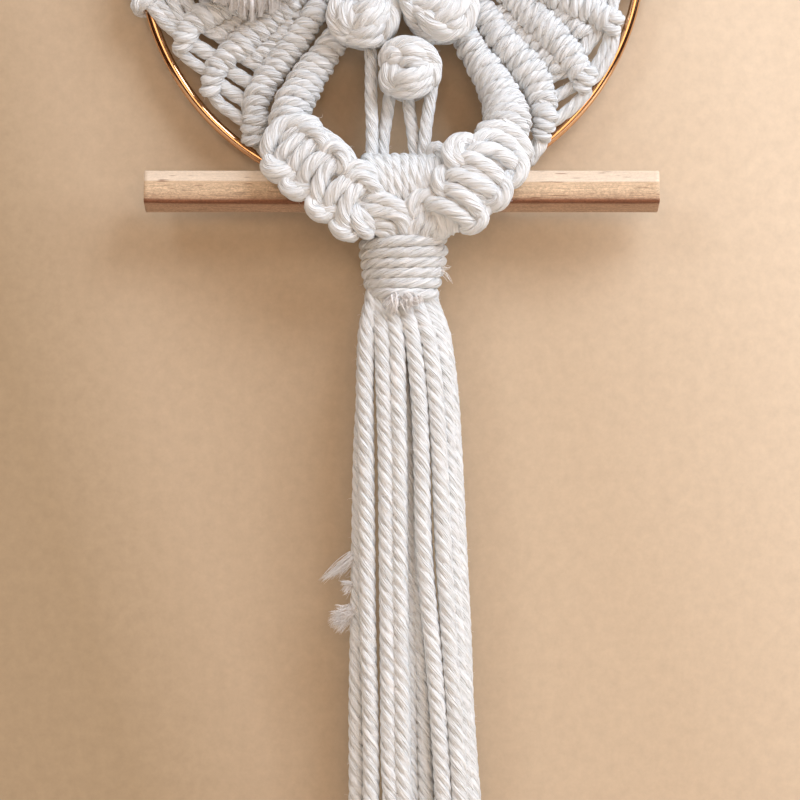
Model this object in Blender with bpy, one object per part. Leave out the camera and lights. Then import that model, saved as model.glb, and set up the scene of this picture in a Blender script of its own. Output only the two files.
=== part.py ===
"""Macrame wall hanging on a metal hoop, with a square wood bar tied across its foot and a cord tassel.

Blender 4.5, metres, +Z up, the front faces -Y. The origin is where the hoop's top rests on its nail.
Tables give x and z in millimetres from the hoop's centre, and y in millimetres from the hoop's plane.
"""
import math

import bpy
import numpy as np
from mathutils import Matrix, Vector

MM = 0.001

# Driving dimensions, in millimetres
HOOP_RADIUS = 75.0
HOOP_WIRE_RADIUS = 1.5
CORD_RADIUS = 2.1
CLEARANCE = 0.3

BAR_SIDE = 10.0
BAR_LENGTH = 153.0
BAR_CENTRE = (3.0, -8.0, -73.4)
BAR_TURN_DEG = -16.5
BAR_EDGE_RADIUS = 1.2

HOOP_STEPS = 80
TUBE_SIDES = 6
CORD_SIDES = 4
SQUARE_CORD_RADIUS = 2.6
WIRE_SIDES = 8

HANG_DROP = HOOP_RADIUS - HOOP_WIRE_RADIUS
RING_CENTRE = Vector((0.0, 0.0, -HANG_DROP * MM))

# The ribs of each wing, wound with half hitches round a core.
# Columns: start, bend, end, start radius, end radius, turns.
LEFT_RIBS = (
    ((-13.0, -5.0, -19.0), (-27.5, -4.0, -38.0), (-30.6, -10.0, -59.0), 4.2, 6.0, 11),
    ((-18.0, -4.0, -12.5), (-35.0, -3.0, -37.5), (-42.0, -4.5, -55.5), 4.0, 3.6, 11),
    ((-20.0, -3.5, -16.0), (-45.0, -3.0, -28.0), (-54.0, -3.5, -40.5), 3.8, 3.8, 10),
    ((-27.0, -3.5, -13.5), (-51.5, -3.0, -16.5), (-64.0, -2.5, -30.5), 3.8, 3.8, 10),
    ((-22.0, -3.5, -6.0), (-48.0, -3.0, -5.5), (-69.6, -1.5, -12.5), 3.8, 3.8, 10),
    ((-17.0, -3.0, 5.0), (-45.0, -2.5, 12.0), (-66.0, -1.5, 4.0), 3.8, 3.8, 11),
)
RIGHT_RIBS = (
    ((17.0, -5.0, -19.0), (35.5, -4.0, -41.5), (33.6, -10.5, -60.0), 4.2, 6.2, 11),
    ((20.0, -4.0, -12.5), (48.5, -3.0, -35.0), (45.0, -4.5, -57.0), 4.0, 3.6, 11),
    ((24.0, -3.5, -11.0), (51.0, -3.0, -24.0), (57.5, -3.5, -43.5), 3.8, 3.8, 10),
    ((27.0, -3.5, -8.0), (51.5, -3.0, -13.5), (67.0, -2.5, -23.5), 3.8, 3.8, 10),
    ((24.0, -3.5, 0.0), (50.0, -3.0, -1.5), (70.6, -1.5, -8.0), 3.8, 3.8, 10),
    ((19.0, -3.0, 9.0), (46.0, -2.5, 15.0), (66.0, -1.5, 8.5), 3.8, 3.8, 11),
)
RIB_SIDES = 5
RIB_RIDGE = 0.55

# Where the cords bridge from one rib to the next, as shares of the ribs' lengths.
BRIDGE_SHARES = (0.46, 0.74)
BRIDGE_RADIUS = 2.4
EDGE_SHARE = 0.97

# Where the outermost and the innermost cord from the knot row meet a wing's top rib.
FALL_SHARES = (0.96, 0.04)

# The row of lark's head knots on the hoop's top, in two halves with room for the nail between them.
ROW_START_DEG = 2.6
ROW_END_DEG = 44.0
ROW_CORDS = 12
ROW_CREST_RADIUS = 5.6
ROW_VALLEY_RADIUS = 4.8
ROOT_SINK = 1.5

# The knots that tie the wings to the hoop's sides, in degrees up from the hoop's level.
# Columns: side, middle deg, half deg.
LEFT_TIE = (-1.0, -10.0, 6.5)
RIGHT_TIE = (1.0, -4.0, 6.5)
TIE_RIDGES = 3
TIE_CREST_RADIUS = 4.6
TIE_VALLEY_RADIUS = 3.9
LEFT_LINK = ((-73.5, -1.0, -17.5), (-64.5, -2.5, -28.0))

# The centre field: rows of square knots.
# Columns: knot x, z.
FIELD_ROWS = (
    ((-9.0, 3.0, 15.0), 38.0),
    ((-3.0, 9.0), 22.0),
    ((-9.0, 3.0, 15.0), 6.0),
)
FIELD_KNOT = (5.2, 4.4, 5.0)
FIELD_DEPTH = -2.5
FIELD_CORD_X = (-13.5, -9.0, -4.5, 0.5, 5.5, 10.5, 15.0, 19.5)
FIELD_FOOT_Z = -12.0
FOOT_RADIUS = 3.2

# The berry knots.
# Columns: x, y, z, half width, half depth, half height.
BERRIES = (
    (-8.6, -11.0, -19.2, 10.6, 8.2, 10.6),
    (15.9, -11.0, -18.8, 9.6, 8.0, 10.4),
    (5.3, -11.5, -36.4, 9.6, 8.0, 9.4),
)
BERRY_RIDGES = 4

# How near a ball's flat ends lie to its poles, and how full it is towards them.
BALL_END = 0.06
BALL_FULLNESS = 0.75
BALL_RIDGE = 0.1

# The four cords from the lowest berry to the bar: points from top to foot.
DROP_CORDS = (
    ((-7.0, -9.0, -25.0), (-6.8, -8.6, -33.0), (-6.2, -9.0, -47.0), (-6.0, -10.0, -65.6)),
    ((1.6, -11.0, -39.0), (-0.6, -11.0, -46.0), (-3.2, -10.6, -54.0), (-3.0, -10.0, -65.6)),
    ((4.6, -11.0, -39.0), (5.1, -11.0, -46.0), (6.4, -10.6, -54.0), (7.2, -10.0, -65.6)),
    ((12.0, -9.0, -38.0), (12.0, -9.0, -42.0), (10.6, -9.4, -52.0), (9.6, -10.0, -65.6)),
)
DROP_RADIUS = 1.9

# The square-knot bands that cross in front of the bar.
# Columns: x, y, z, half width, half depth.
LEFT_CLAW = (
    (-31.2, -10.4, -56.7, 7.6, 5.0),
    (-28.4, -15.8, -62.4, 10.2, 5.0),
    (-23.8, -19.4, -67.0, 11.2, 5.0),
    (-17.8, -20.4, -71.5, 11.4, 5.0),
    (-12.4, -20.0, -76.0, 11.0, 5.0),
    (-7.0, -18.2, -81.5, 8.6, 4.8),
    (-3.4, -15.6, -86.0, 6.0, 4.4),
)
RIGHT_CLAW = (
    (33.6, -10.8, -60.0, 7.8, 5.0),
    (31.0, -16.2, -64.4, 10.6, 5.0),
    (27.0, -19.8, -68.6, 11.6, 5.2),
    (22.8, -20.6, -73.6, 11.2, 5.2),
    (18.0, -20.0, -78.8, 10.0, 5.0),
    (13.0, -18.4, -83.0, 7.6, 4.8),
    (9.4, -15.6, -86.4, 6.0, 4.4),
)
CLAW_BARS = 8
CLAW_RIDGE = 0.8

# The hitches wound round the bar and the hoop together.
HITCH_MIDDLE_X = 4.0
HITCH_WIDTH = 20.0
HITCH_TURNS = 8
HITCH_CENTRE = (-6.4, -73.4)
HITCH_HALF = (10.8, 9.2)
HITCH_RIDGE = 0.7

# The neck of cords from the hitches into the binding: ends and half sizes.
# Columns: x, z, half width, half depth.
NECK = (
    (3.8, -80.0, 9.5, 7.4),
    (3.6, -86.6, 12.4, 8.0),
)

# The wound binding above the tassel, and the bundle inside it.
# Columns: z, middle x, half width, half depth.
BINDING = (
    (-85.2, 3.7, 14.2, 9.6),
    (-92.0, 3.6, 13.0, 9.2),
    (-99.0, 3.5, 11.8, 8.8),
    (-105.4, 3.4, 11.0, 8.4),
)
BINDING_TURNS = 7
BINDING_RIDGE = 0.5
BINDING_WALL = 2.8
BUNDLE_DEPTH = -9.0
BUNDLE_TOP = -88.4

# The tassel's strands hang in rows, from front to back.
# Columns: strands, y, root left, root right, foot left, foot right, foot z.
TASSEL_ROWS = (
    (9, -14.6, -5.2, 12.0, -11.0, 24.6, -284.0),
    (8, -9.4, -5.4, 12.2, -9.0, 22.8, -286.0),
    (7, -4.2, -4.8, 11.6, -6.8, 20.4, -283.0),
)
TASSEL_ROOT_Z = -106.8
# Columns: z, share of spread.
TASSEL_SPREAD = ((-118.0, 0.34), (-150.0, 0.58), (-205.0, 0.8))
TASSEL_GAP = 0.4
STRAND_DEPTH = 4.0
ROOT_DEPTH_SHARE = 0.62
STRAND_UNEVENNESS = 2.5
SQUARE_CORNER = math.sqrt(0.5)

# The brushed fringes that hang in front of the top ribs: ends of the backing strip, its depth, and the foot.
# Columns: left x, left z, right x, right z, foot z.
LEFT_FRINGE = (-55.0, 7.2, -29.0, 6.6, -18.6)
RIGHT_FRINGE = (32.0, 11.4, 57.0, 10.4, -12.5)
FRINGE_DEPTH = -8.6
FRINGE_LOCKS = 16
FRINGE_STRIP_RADIUS = 1.6
LOCK_BOW = 0.6
LOCK_HALF_WIDTHS = (0.6, 0.74, 0.5)
LOCK_HALF_DEPTHS = (0.9, 1.2, 0.8)


def place(x, y, z):
    """A point from the tables, in metres from the nail."""
    return np.array([x, y, z - HANG_DROP]) * MM


def material(name, colour, roughness, metallic=0.0):
    made = bpy.data.materials.new(name)
    made.use_nodes = True
    shader = made.node_tree.nodes["Principled BSDF"]
    shader.inputs["Base Color"].default_value = (*colour, 1.0)
    shader.inputs["Roughness"].default_value = roughness
    shader.inputs["Metallic"].default_value = metallic
    return made


def new_object(name, points, faces, finish=None):
    mesh = bpy.data.meshes.new(name)
    mesh.from_pydata([tuple(p) for p in points], [], faces)
    mesh.update()
    made = bpy.data.objects.new(name, mesh)
    bpy.context.collection.objects.link(made)
    if finish:
        mesh.materials.append(finish)
    return made


def section_axes(line, across):
    """For each point of a line, two unit axes square to it: one near `across`, and one square to both."""
    tangents = np.gradient(line, axis=0)
    tangents /= np.linalg.norm(tangents, axis=1)[:, None]
    deep = np.cross(tangents, across)
    deep /= np.linalg.norm(deep, axis=1)[:, None]
    wide = np.cross(deep, tangents)
    return wide, deep


def square_cord(name, line, radius=SQUARE_CORD_RADIUS):
    return tube(name, line, radius, radius, (0, 1, 0), CORD_SIDES)


def tube(name, line, half_wide, half_deep, across, sides=TUBE_SIDES, finish=None):
    """A closed tube of elliptical sections along a line of points in metres, half sizes in millimetres."""
    line = np.asarray(line, float)
    wide, deep = section_axes(line, np.asarray(across, float))
    half_wide = np.broadcast_to(half_wide, len(line))[:, None, None] * MM
    half_deep = np.broadcast_to(half_deep, len(line))[:, None, None] * MM
    turn = 2 * math.pi * (np.arange(sides) + 0.5) / sides
    ring = line[:, None, :] + half_wide * np.cos(turn)[None, :, None] * wide[:, None, :]
    ring = ring + half_deep * np.sin(turn)[None, :, None] * deep[:, None, :]
    faces = []
    for i in range(len(line) - 1):
        for j in range(sides):
            k = (j + 1) % sides
            faces.append((i * sides + j, i * sides + k, (i + 1) * sides + k, (i + 1) * sides + j))
    faces.append(tuple(range(sides))[::-1])
    faces.append(tuple((len(line) - 1) * sides + j for j in range(sides)))
    made = new_object(name, ring.reshape(-1, 3), faces, finish)
    face_outwards(made)
    return made


def face_outwards(made):
    """Turns the faces round if the closed mesh is inside out."""
    mesh = made.data
    volume = sum(
        mesh.vertices[f.vertices[0]].co.dot(mesh.vertices[b].co.cross(mesh.vertices[c].co))
        for f in mesh.polygons
        for b, c in zip(f.vertices[1:-1], f.vertices[2:])
    )
    if volume < 0:
        mesh.flip_normals()


def helper(made):
    made.hide_render = True
    made.display_type = "WIRE"
    return made


def boolean(target, other, operation):
    modifier = target.modifiers.new(other.name, "BOOLEAN")
    modifier.operation = operation
    modifier.object = helper(other)
    modifier.solver = "EXACT"


def fused(name, pieces, finish):
    """The pieces as one solid: the first takes in the others."""
    whole = pieces[0]
    whole.name = name
    whole.data.materials.clear()
    whole.data.materials.append(finish)
    for piece in pieces[1:]:
        boolean(whole, piece, "UNION")
    return whole


def bend(start, middle, end, shares):
    """Points of a quadratic curve at shares of its way."""
    t = np.asarray(shares, float)[:, None]
    return (1 - t) ** 2 * np.asarray(start) + 2 * t * (1 - t) * np.asarray(middle) + t**2 * np.asarray(end)


def smooth_line(points, count):
    """A smooth curve through points, cut at even shares of its length."""
    points = np.asarray(points, float)
    padded = np.vstack([2 * points[0] - points[1], points, 2 * points[-1] - points[-2]])
    fine = []
    for i in range(1, len(padded) - 2):
        a, b, c, d = padded[i - 1 : i + 3]
        for t in np.linspace(0, 1, 16, endpoint=False):
            fine.append(
                0.5 * (2 * b + (c - a) * t + (2 * a - 5 * b + 4 * c - d) * t**2)
                + 0.5 * (3 * b - a - 3 * c + d) * t**3
            )
    fine.append(points[-1])
    fine = np.array(fine)
    along = np.concatenate([[0], np.cumsum(np.linalg.norm(np.diff(fine[:, :3], axis=0), axis=1))])
    at = np.linspace(0, along[-1], count)
    return np.stack([np.interp(at, along, fine[:, k]) for k in range(fine.shape[1])], axis=1)


def ridges(turns, depth):
    """Shares along a wound bar and what to take off its radius there: one crest and one valley a turn."""
    shares = np.linspace(0, 1, 2 * turns + 1)
    lowered = np.where(np.arange(2 * turns + 1) % 2 == 0, depth, 0.0)
    return shares, lowered


def rib_line(rib, shares):
    return np.array([place(*point) for point in bend(rib[0], rib[1], rib[2], shares)])


def rib(name, row):
    _, _, _, start_radius, end_radius, turns = row
    shares, lowered = ridges(turns, RIB_RIDGE)
    radius = start_radius + (end_radius - start_radius) * shares - lowered
    return tube(name, rib_line(row, shares), radius, radius, (0, 1, 0), RIB_SIDES)


def bridge(name, upper, lower, share, radius=BRIDGE_RADIUS):
    """A cord that goes from one rib to the next below it."""
    ends = np.vstack([rib_line(upper, [share]), rib_line(lower, [share])])
    return square_cord(name, ends, radius)


def hoop_point(degrees_from_top, radius=HOOP_RADIUS, y=0.0):
    a = math.radians(degrees_from_top)
    return place(radius * math.sin(a), y, radius * math.cos(a))


def row_cord_angle(index):
    """The place on the hoop, in degrees from its top, of a cord counted outwards from the nail."""
    return ROW_START_DEG + (ROW_END_DEG - ROW_START_DEG) * (index + 0.5) / ROW_CORDS


def wing(side, ribs):
    """One fan of ribs, the cords that bridge them, and the cords that come down to it from the knot row."""
    pieces = [rib(f"{side}_rib_{i}", row) for i, row in enumerate(ribs)]
    for i in range(1, len(ribs)):
        for j, share in enumerate(BRIDGE_SHARES):
            pieces.append(bridge(f"{side}_bridge_{i}_{j}", ribs[i], ribs[i - 1], share))
        pieces.append(bridge(f"{side}_edge_{i}", ribs[i], ribs[i - 1], EDGE_SHARE, SQUARE_CORD_RADIUS))
    sign = -1 if side == "left" else 1
    cords = ROW_CORDS - len(FIELD_CORD_X) // 2
    for i in range(cords):
        angle = sign * row_cord_angle(ROW_CORDS - 1 - i)
        top = hoop_point(angle, HOOP_RADIUS - ROW_VALLEY_RADIUS + ROOT_SINK, FIELD_DEPTH)
        share = FALL_SHARES[0] + (FALL_SHARES[1] - FALL_SHARES[0]) * i / (cords - 1)
        foot = rib_line(ribs[-1], [share])[0]
        pieces.append(square_cord(f"{side}_fall_{i}", (top, foot)))
    return pieces


def sleeve(name, middle_deg, half_deg, ridge_count, crest, valley):
    """A ridged sleeve wound round a stretch of the hoop."""
    shares, lowered = ridges(ridge_count, crest - valley)
    angles = middle_deg + half_deg * (2 * shares - 1)
    line = np.array([hoop_point(a) for a in angles])
    return tube(name, line, crest - lowered, crest - lowered, (0, 1, 0), 8)


def hoop_form(name, wire_radius):
    bpy.ops.mesh.primitive_torus_add(
        major_radius=HOOP_RADIUS * MM,
        minor_radius=wire_radius * MM,
        major_segments=HOOP_STEPS,
        minor_segments=WIRE_SIDES,
        location=RING_CENTRE,
        rotation=(math.pi / 2, 0, 0),
    )
    made = bpy.context.object
    made.name = name
    return made


def hoop(finish):
    made = hoop_form("metal_ring", HOOP_WIRE_RADIUS)
    made.data.materials.append(finish)
    made.data.shade_smooth()


def bar_form(name, length, side):
    """The square bar, turned a little on its length so that its lower face shows."""
    bpy.ops.mesh.primitive_cube_add(size=1, location=place(*BAR_CENTRE))
    made = bpy.context.object
    made.name = name
    made.data.transform(Matrix.Diagonal((length * MM, side * MM, side * MM, 1)))
    made.rotation_euler = (math.radians(BAR_TURN_DEG), 0, 0)
    return made


def bar(finish):
    made = bar_form("wooden_bar", BAR_LENGTH, BAR_SIDE)
    edges = made.modifiers.new("rounded edges", "BEVEL")
    edges.width = BAR_EDGE_RADIUS * MM
    edges.segments = 2
    made.data.materials.append(finish)


def ball(name, centre, halves, ridge_count, sides):
    """A knot worked into a ball: a turned form with a ridge for each pass of the cord."""
    shares, lowered = ridges(ridge_count, BALL_RIDGE)
    angles = math.pi * (BALL_END + (1 - 2 * BALL_END) * shares)
    x, y, z = centre
    half_width, half_depth, half_height = halves
    line = [place(x, y, z + half_height * math.cos(a)) for a in angles]
    swell = np.sin(angles) ** BALL_FULLNESS * (1 - lowered)
    return tube(name, line, half_width * swell, half_depth * swell, (1, 0, 0), sides)


def centre_field():
    """The middle cords from the knot row down, caught in rows of square knots."""
    pieces = []
    for r, (knots, z) in enumerate(FIELD_ROWS):
        for k, x in enumerate(knots):
            pieces.append(ball(f"field_knot_{r}_{k}", (x, FIELD_DEPTH, z), FIELD_KNOT, 2, 6))
    for i, foot_x in enumerate(FIELD_CORD_X):
        from_middle = i - (len(FIELD_CORD_X) - 1) / 2
        angle = math.copysign(row_cord_angle(math.floor(abs(from_middle))), from_middle)
        points = [hoop_point(angle, HOOP_RADIUS - ROW_VALLEY_RADIUS + ROOT_SINK, FIELD_DEPTH)]
        for knots, z in FIELD_ROWS:
            nearest = min(knots, key=lambda x: abs(x - foot_x))
            points.append(place(nearest + math.copysign(1.6, foot_x - nearest), FIELD_DEPTH, z))
        points.append(place(foot_x, FIELD_DEPTH, FIELD_FOOT_Z))
        pieces.append(square_cord(f"field_cord_{i}", smooth_line(points, 9)))
    xs = np.linspace(FIELD_CORD_X[0] - 1, FIELD_CORD_X[-1] + 1, 5)
    line = [place(x, FIELD_DEPTH, FIELD_FOOT_Z) for x in xs]
    pieces.append(tube("field_foot", line, FOOT_RADIUS, FOOT_RADIUS, (0, 1, 0)))
    return pieces


def berries():
    pieces = []
    for i, (x, y, z, *halves) in enumerate(BERRIES):
        pieces.append(ball(f"berry_{i}", (x, y, z), halves, BERRY_RIDGES, 10))
    return pieces


def drop_cords():
    pieces = []
    for i, points in enumerate(DROP_CORDS):
        line = smooth_line([place(*p) for p in points], 8)
        pieces.append(tube(f"drop_cord_{i}", line, DROP_RADIUS, DROP_RADIUS, (1, 0, 0)))
    return pieces


def claw(name, rows):
    """A band of square knots: one ridge for each bar that crosses it."""
    shares, lowered = ridges(CLAW_BARS, CLAW_RIDGE)
    rows = smooth_line(rows, len(shares))
    line = np.array([place(*row[:3]) for row in rows])
    return tube(name, line, rows[:, 4] - 0.5 * lowered, rows[:, 3] - lowered, (0, 1, 0), 8)


def hitches():
    """Turns of cord round the bar and the hoop."""
    shares, lowered = ridges(HITCH_TURNS, HITCH_RIDGE)
    xs = HITCH_MIDDLE_X + HITCH_WIDTH * (shares - 0.5)
    line = [place(x, *HITCH_CENTRE) for x in xs]
    half_deep, half_high = HITCH_HALF
    return tube("bar_hitches", line, half_deep - lowered, half_high - lowered, (0, 1, 0), 12)


def neck():
    """The cords between the hitches and the binding, close together."""
    line = [place(x, BUNDLE_DEPTH, z) for x, z, _, _ in NECK]
    half_widths = [row[2] for row in NECK]
    half_depths = [row[3] for row in NECK]
    return tube("neck", line, half_widths, half_depths, (1, 0, 0), 10)


def binding_at(z):
    columns = np.array(BINDING)
    return [float(np.interp(-z, -columns[:, 0], columns[:, k])) for k in (1, 2, 3)]


def binding():
    shares, lowered = ridges(BINDING_TURNS, BINDING_RIDGE)
    zs = BINDING[0][0] + (BINDING[-1][0] - BINDING[0][0]) * shares
    rows = np.array([binding_at(z) for z in zs])
    line = [place(x, BUNDLE_DEPTH, z) for x, z in zip(rows[:, 0], zs)]
    return tube("binding", line, rows[:, 1] - lowered, rows[:, 2] - lowered, (1, 0, 0), 16)


def core(name, top_z, foot_z, inset):
    """The round core of the binding, a given way inside it, from one height to another below its foot."""
    zs = (top_z, BINDING[-1][0], foot_z)
    rows = np.array([binding_at(z) for z in zs])
    line = [place(x, BUNDLE_DEPTH, z) for x, z in zip(rows[:, 0], zs)]
    return tube(name, line, rows[:, 1] - inset, rows[:, 2] - inset, (1, 0, 0), 16)


def knotted_panel(finish):
    """All the knotting in one piece, with room through it for the hoop, the bar and the tassel's bundle."""
    row_middle = 0.5 * (ROW_START_DEG + ROW_END_DEG)
    row_half = 0.5 * (ROW_END_DEG - ROW_START_DEG)
    pieces = []
    for middle in (-row_middle, row_middle):
        pieces.append(sleeve("knot_row", middle, row_half, ROW_CORDS, ROW_CREST_RADIUS, ROW_VALLEY_RADIUS))
    for side, middle, half in (LEFT_TIE, RIGHT_TIE):
        angle = side * (90.0 - middle)
        pieces.append(sleeve("tie", angle, half, TIE_RIDGES, TIE_CREST_RADIUS, TIE_VALLEY_RADIUS))
    pieces += wing("left", LEFT_RIBS) + wing("right", RIGHT_RIBS)
    pieces += centre_field() + berries() + drop_cords()
    pieces += [claw("left_claw", LEFT_CLAW), claw("right_claw", RIGHT_CLAW), hitches(), neck(), binding()]
    pieces.append(tube("left_link", [place(*p) for p in LEFT_LINK], CORD_RADIUS, CORD_RADIUS, (0, 1, 0)))
    panel = fused("knotted_panel", pieces, finish)
    boolean(panel, hoop_form("hoop_room", HOOP_WIRE_RADIUS + CLEARANCE), "DIFFERENCE")
    boolean(panel, bar_form("bar_room", BAR_LENGTH + 10, BAR_SIDE + 2 * CLEARANCE), "DIFFERENCE")
    hole = core("binding_hole", BUNDLE_TOP + CLEARANCE, BINDING[-1][0] - 2, BINDING_WALL)
    boolean(panel, hole, "DIFFERENCE")


def tassel(finish):
    """The bundle inside the binding, and the strands that hang from it, apart but for their roots."""
    pieces = [core("bundle", BUNDLE_TOP, TASSEL_ROOT_Z - 3, BINDING_WALL + CLEARANCE)]
    for r, (count, y, root_left, root_right, foot_left, foot_right, foot_z) in enumerate(TASSEL_ROWS):
        for i in range(count):
            share = i / (count - 1)
            root = root_left + (root_right - root_left) * share
            foot = foot_left + (foot_right - foot_left) * share
            low = foot_z + STRAND_UNEVENNESS * math.sin(2.4 * i + r)
            root_y = BUNDLE_DEPTH + (y - BUNDLE_DEPTH) * ROOT_DEPTH_SHARE
            points = [(root, root_y, TASSEL_ROOT_Z, 0.0), (root, root_y, TASSEL_ROOT_Z - 3.6, 0.0)]
            points += [(root + (foot - root) * spread, y, z, spread) for z, spread in TASSEL_SPREAD]
            points.append((foot, y, low, 1.0))
            rows = smooth_line(points, 9)
            root_pitch = (root_right - root_left) / (count - 1)
            foot_pitch = (foot_right - foot_left) / (count - 1)
            pitch = root_pitch + (foot_pitch - root_pitch) * rows[:, 3]
            width = np.minimum(pitch - TASSEL_GAP, 2 * CORD_RADIUS)
            line = [place(*row[:3]) for row in rows]
            half_wide, half_deep = width * SQUARE_CORNER, STRAND_DEPTH * SQUARE_CORNER
            pieces.append(tube(f"strand_{r}_{i}", line, half_wide, half_deep, (1, 0, 0), CORD_SIDES))
    fused("tassel", pieces, finish)


def fringe(name, row, finish):
    """A strip with brushed locks hanging from it."""
    left_x, left_z, right_x, right_z, foot_z = row
    shares = np.linspace(0, 1, 7)
    line = [
        place(left_x + (right_x - left_x) * s, FRINGE_DEPTH, left_z + (right_z - left_z) * s) for s in shares
    ]
    pieces = [tube(f"{name}_strip", line, FRINGE_STRIP_RADIUS, FRINGE_STRIP_RADIUS, (0, 1, 0), 6)]
    for i in range(FRINGE_LOCKS):
        s = (i + 0.5) / FRINGE_LOCKS
        x = left_x + (right_x - left_x) * s
        z = left_z + (right_z - left_z) * s
        low = foot_z + 1.2 * math.sin(2.1 * i) + 3.0 * (2 * s - 1) ** 2
        middle = place(x, FRINGE_DEPTH - LOCK_BOW, 0.5 * (z + low))
        points = [place(x, FRINGE_DEPTH, z), middle, place(x, FRINGE_DEPTH, low)]
        lock = tube(f"{name}_lock_{i}", points, LOCK_HALF_WIDTHS, LOCK_HALF_DEPTHS, (1, 0, 0), CORD_SIDES)
        pieces.append(lock)
    fused(name, pieces, finish)


def main():
    for old in list(bpy.data.objects):
        bpy.data.objects.remove(old)
    cotton = material("twisted cotton cord", (0.83, 0.82, 0.80), 0.9)
    gold = material("polished gold plate", (0.83, 0.57, 0.28), 0.2, 1.0)
    pine = material("planed pine", (0.72, 0.52, 0.34), 0.55)
    hoop(gold)
    bar(pine)
    knotted_panel(cotton)
    tassel(cotton)
    fringe("left_fringe", LEFT_FRINGE, cotton)
    fringe("right_fringe", RIGHT_FRINGE, cotton)


main()
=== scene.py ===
# Macrame wall hanging: cotton cord knotted on a gold ring, tied across a pine bar, with a long tassel.
# Every place is worked out in millimetres from the nail that holds the ring, then scaled to metres.
import math

import bpy
import numpy as np
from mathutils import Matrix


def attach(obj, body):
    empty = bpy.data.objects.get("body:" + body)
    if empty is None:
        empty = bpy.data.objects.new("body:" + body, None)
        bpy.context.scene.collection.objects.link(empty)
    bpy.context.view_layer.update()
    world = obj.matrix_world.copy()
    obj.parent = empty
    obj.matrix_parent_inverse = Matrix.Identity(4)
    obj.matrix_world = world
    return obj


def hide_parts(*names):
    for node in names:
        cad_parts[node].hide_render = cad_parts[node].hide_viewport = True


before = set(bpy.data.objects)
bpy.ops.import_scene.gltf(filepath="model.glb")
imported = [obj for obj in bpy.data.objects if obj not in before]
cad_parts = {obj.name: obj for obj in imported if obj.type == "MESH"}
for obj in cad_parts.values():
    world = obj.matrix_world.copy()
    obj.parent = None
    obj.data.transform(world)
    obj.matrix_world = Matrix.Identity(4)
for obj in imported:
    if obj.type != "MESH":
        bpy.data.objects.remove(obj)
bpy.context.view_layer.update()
print("frame loaded")

rng = np.random.default_rng(7)
millimetre = 0.001
frontWay = (0, -1, 0)
backWay = (0, 1, 0)

# The picture's frame: 800 units square, 0.3 mm each on the ring's own plane.
picture = {"unit": 0.3, "middle": 400.0, "ringU": 391.5, "ringV": -54.0, "distance": 1050.0}
ring = {"radius": 75.0, "wire": 1.5, "drop": 73.5, "cuts": 288, "sides": 28}
cord = {"radius": 2.1, "plies": 4, "pitch": 15.6, "groove": 0.2, "crest": 0.6, "endRound": 2.0,
        "endLeast": 0.05, "step": 0.9, "sides": 24, "upperSides": 18}

lookX = (picture["middle"] - picture["ringU"]) * picture["unit"]
lookZ = -(picture["middle"] - picture["ringV"]) * picture["unit"] - ring["drop"]


def fromPicture(rows):
    # A point seen at u, v in the picture and lying at depth y: x and z shrink as it comes nearer.
    rows = np.asarray(rows, float)
    scale = picture["unit"] * (picture["distance"] + rows[:, 2]) / picture["distance"]
    x = lookX + (rows[:, 0] - picture["middle"]) * scale
    z = lookZ - (rows[:, 1] - picture["middle"]) * scale
    return np.column_stack([x, rows[:, 2], z] + [rows[:, k] for k in range(3, rows.shape[1])])


def fromRing(rows):
    # Points measured from the ring's centre, as the frame's own are
    rows = np.array(rows, float)
    rows[:, 2] -= ring["drop"]
    return rows


def runLength(line):
    return np.concatenate([[0.0], np.cumsum(np.linalg.norm(np.diff(line[:, :3], axis=0), axis=1))])


def rowsAt(at, places, rows):
    return np.column_stack([np.interp(at, places, column) for column in rows.T])


def throughPoints(points, step=None, count=None, cuts=12):
    # A smooth line through set points: cubics with each point's slope taken from its neighbours,
    # cut at even steps of its length. Columns after the third, such as a radius, go along with it.
    p = np.asarray(points, float)
    p = np.vstack([2 * p[0] - p[1], p, 2 * p[-1] - p[-2]])
    t = np.linspace(0, 1, cuts, endpoint=False)[None, :, None]
    a, b, c, d = p[:-3, None], p[1:-2, None], p[2:-1, None], p[3:, None]
    fine = 0.5 * (2 * b + (c - a) * t + (2 * a - 5 * b + 4 * c - d) * t**2 + (3 * b - a - 3 * c + d) * t**3)
    fine = np.vstack([fine.reshape(-1, p.shape[1]), p[-2]])
    along = runLength(fine)
    count = count or max(4, int(round(along[-1] / (step or cord["step"]))) + 1)
    return rowsAt(np.linspace(0, along[-1], count), along, fine)


def unit(v):
    return v / np.maximum(np.linalg.norm(v, axis=-1, keepdims=True), 1e-9)


def tangents(line):
    return unit(np.gradient(line[:, :3], axis=0))


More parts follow.
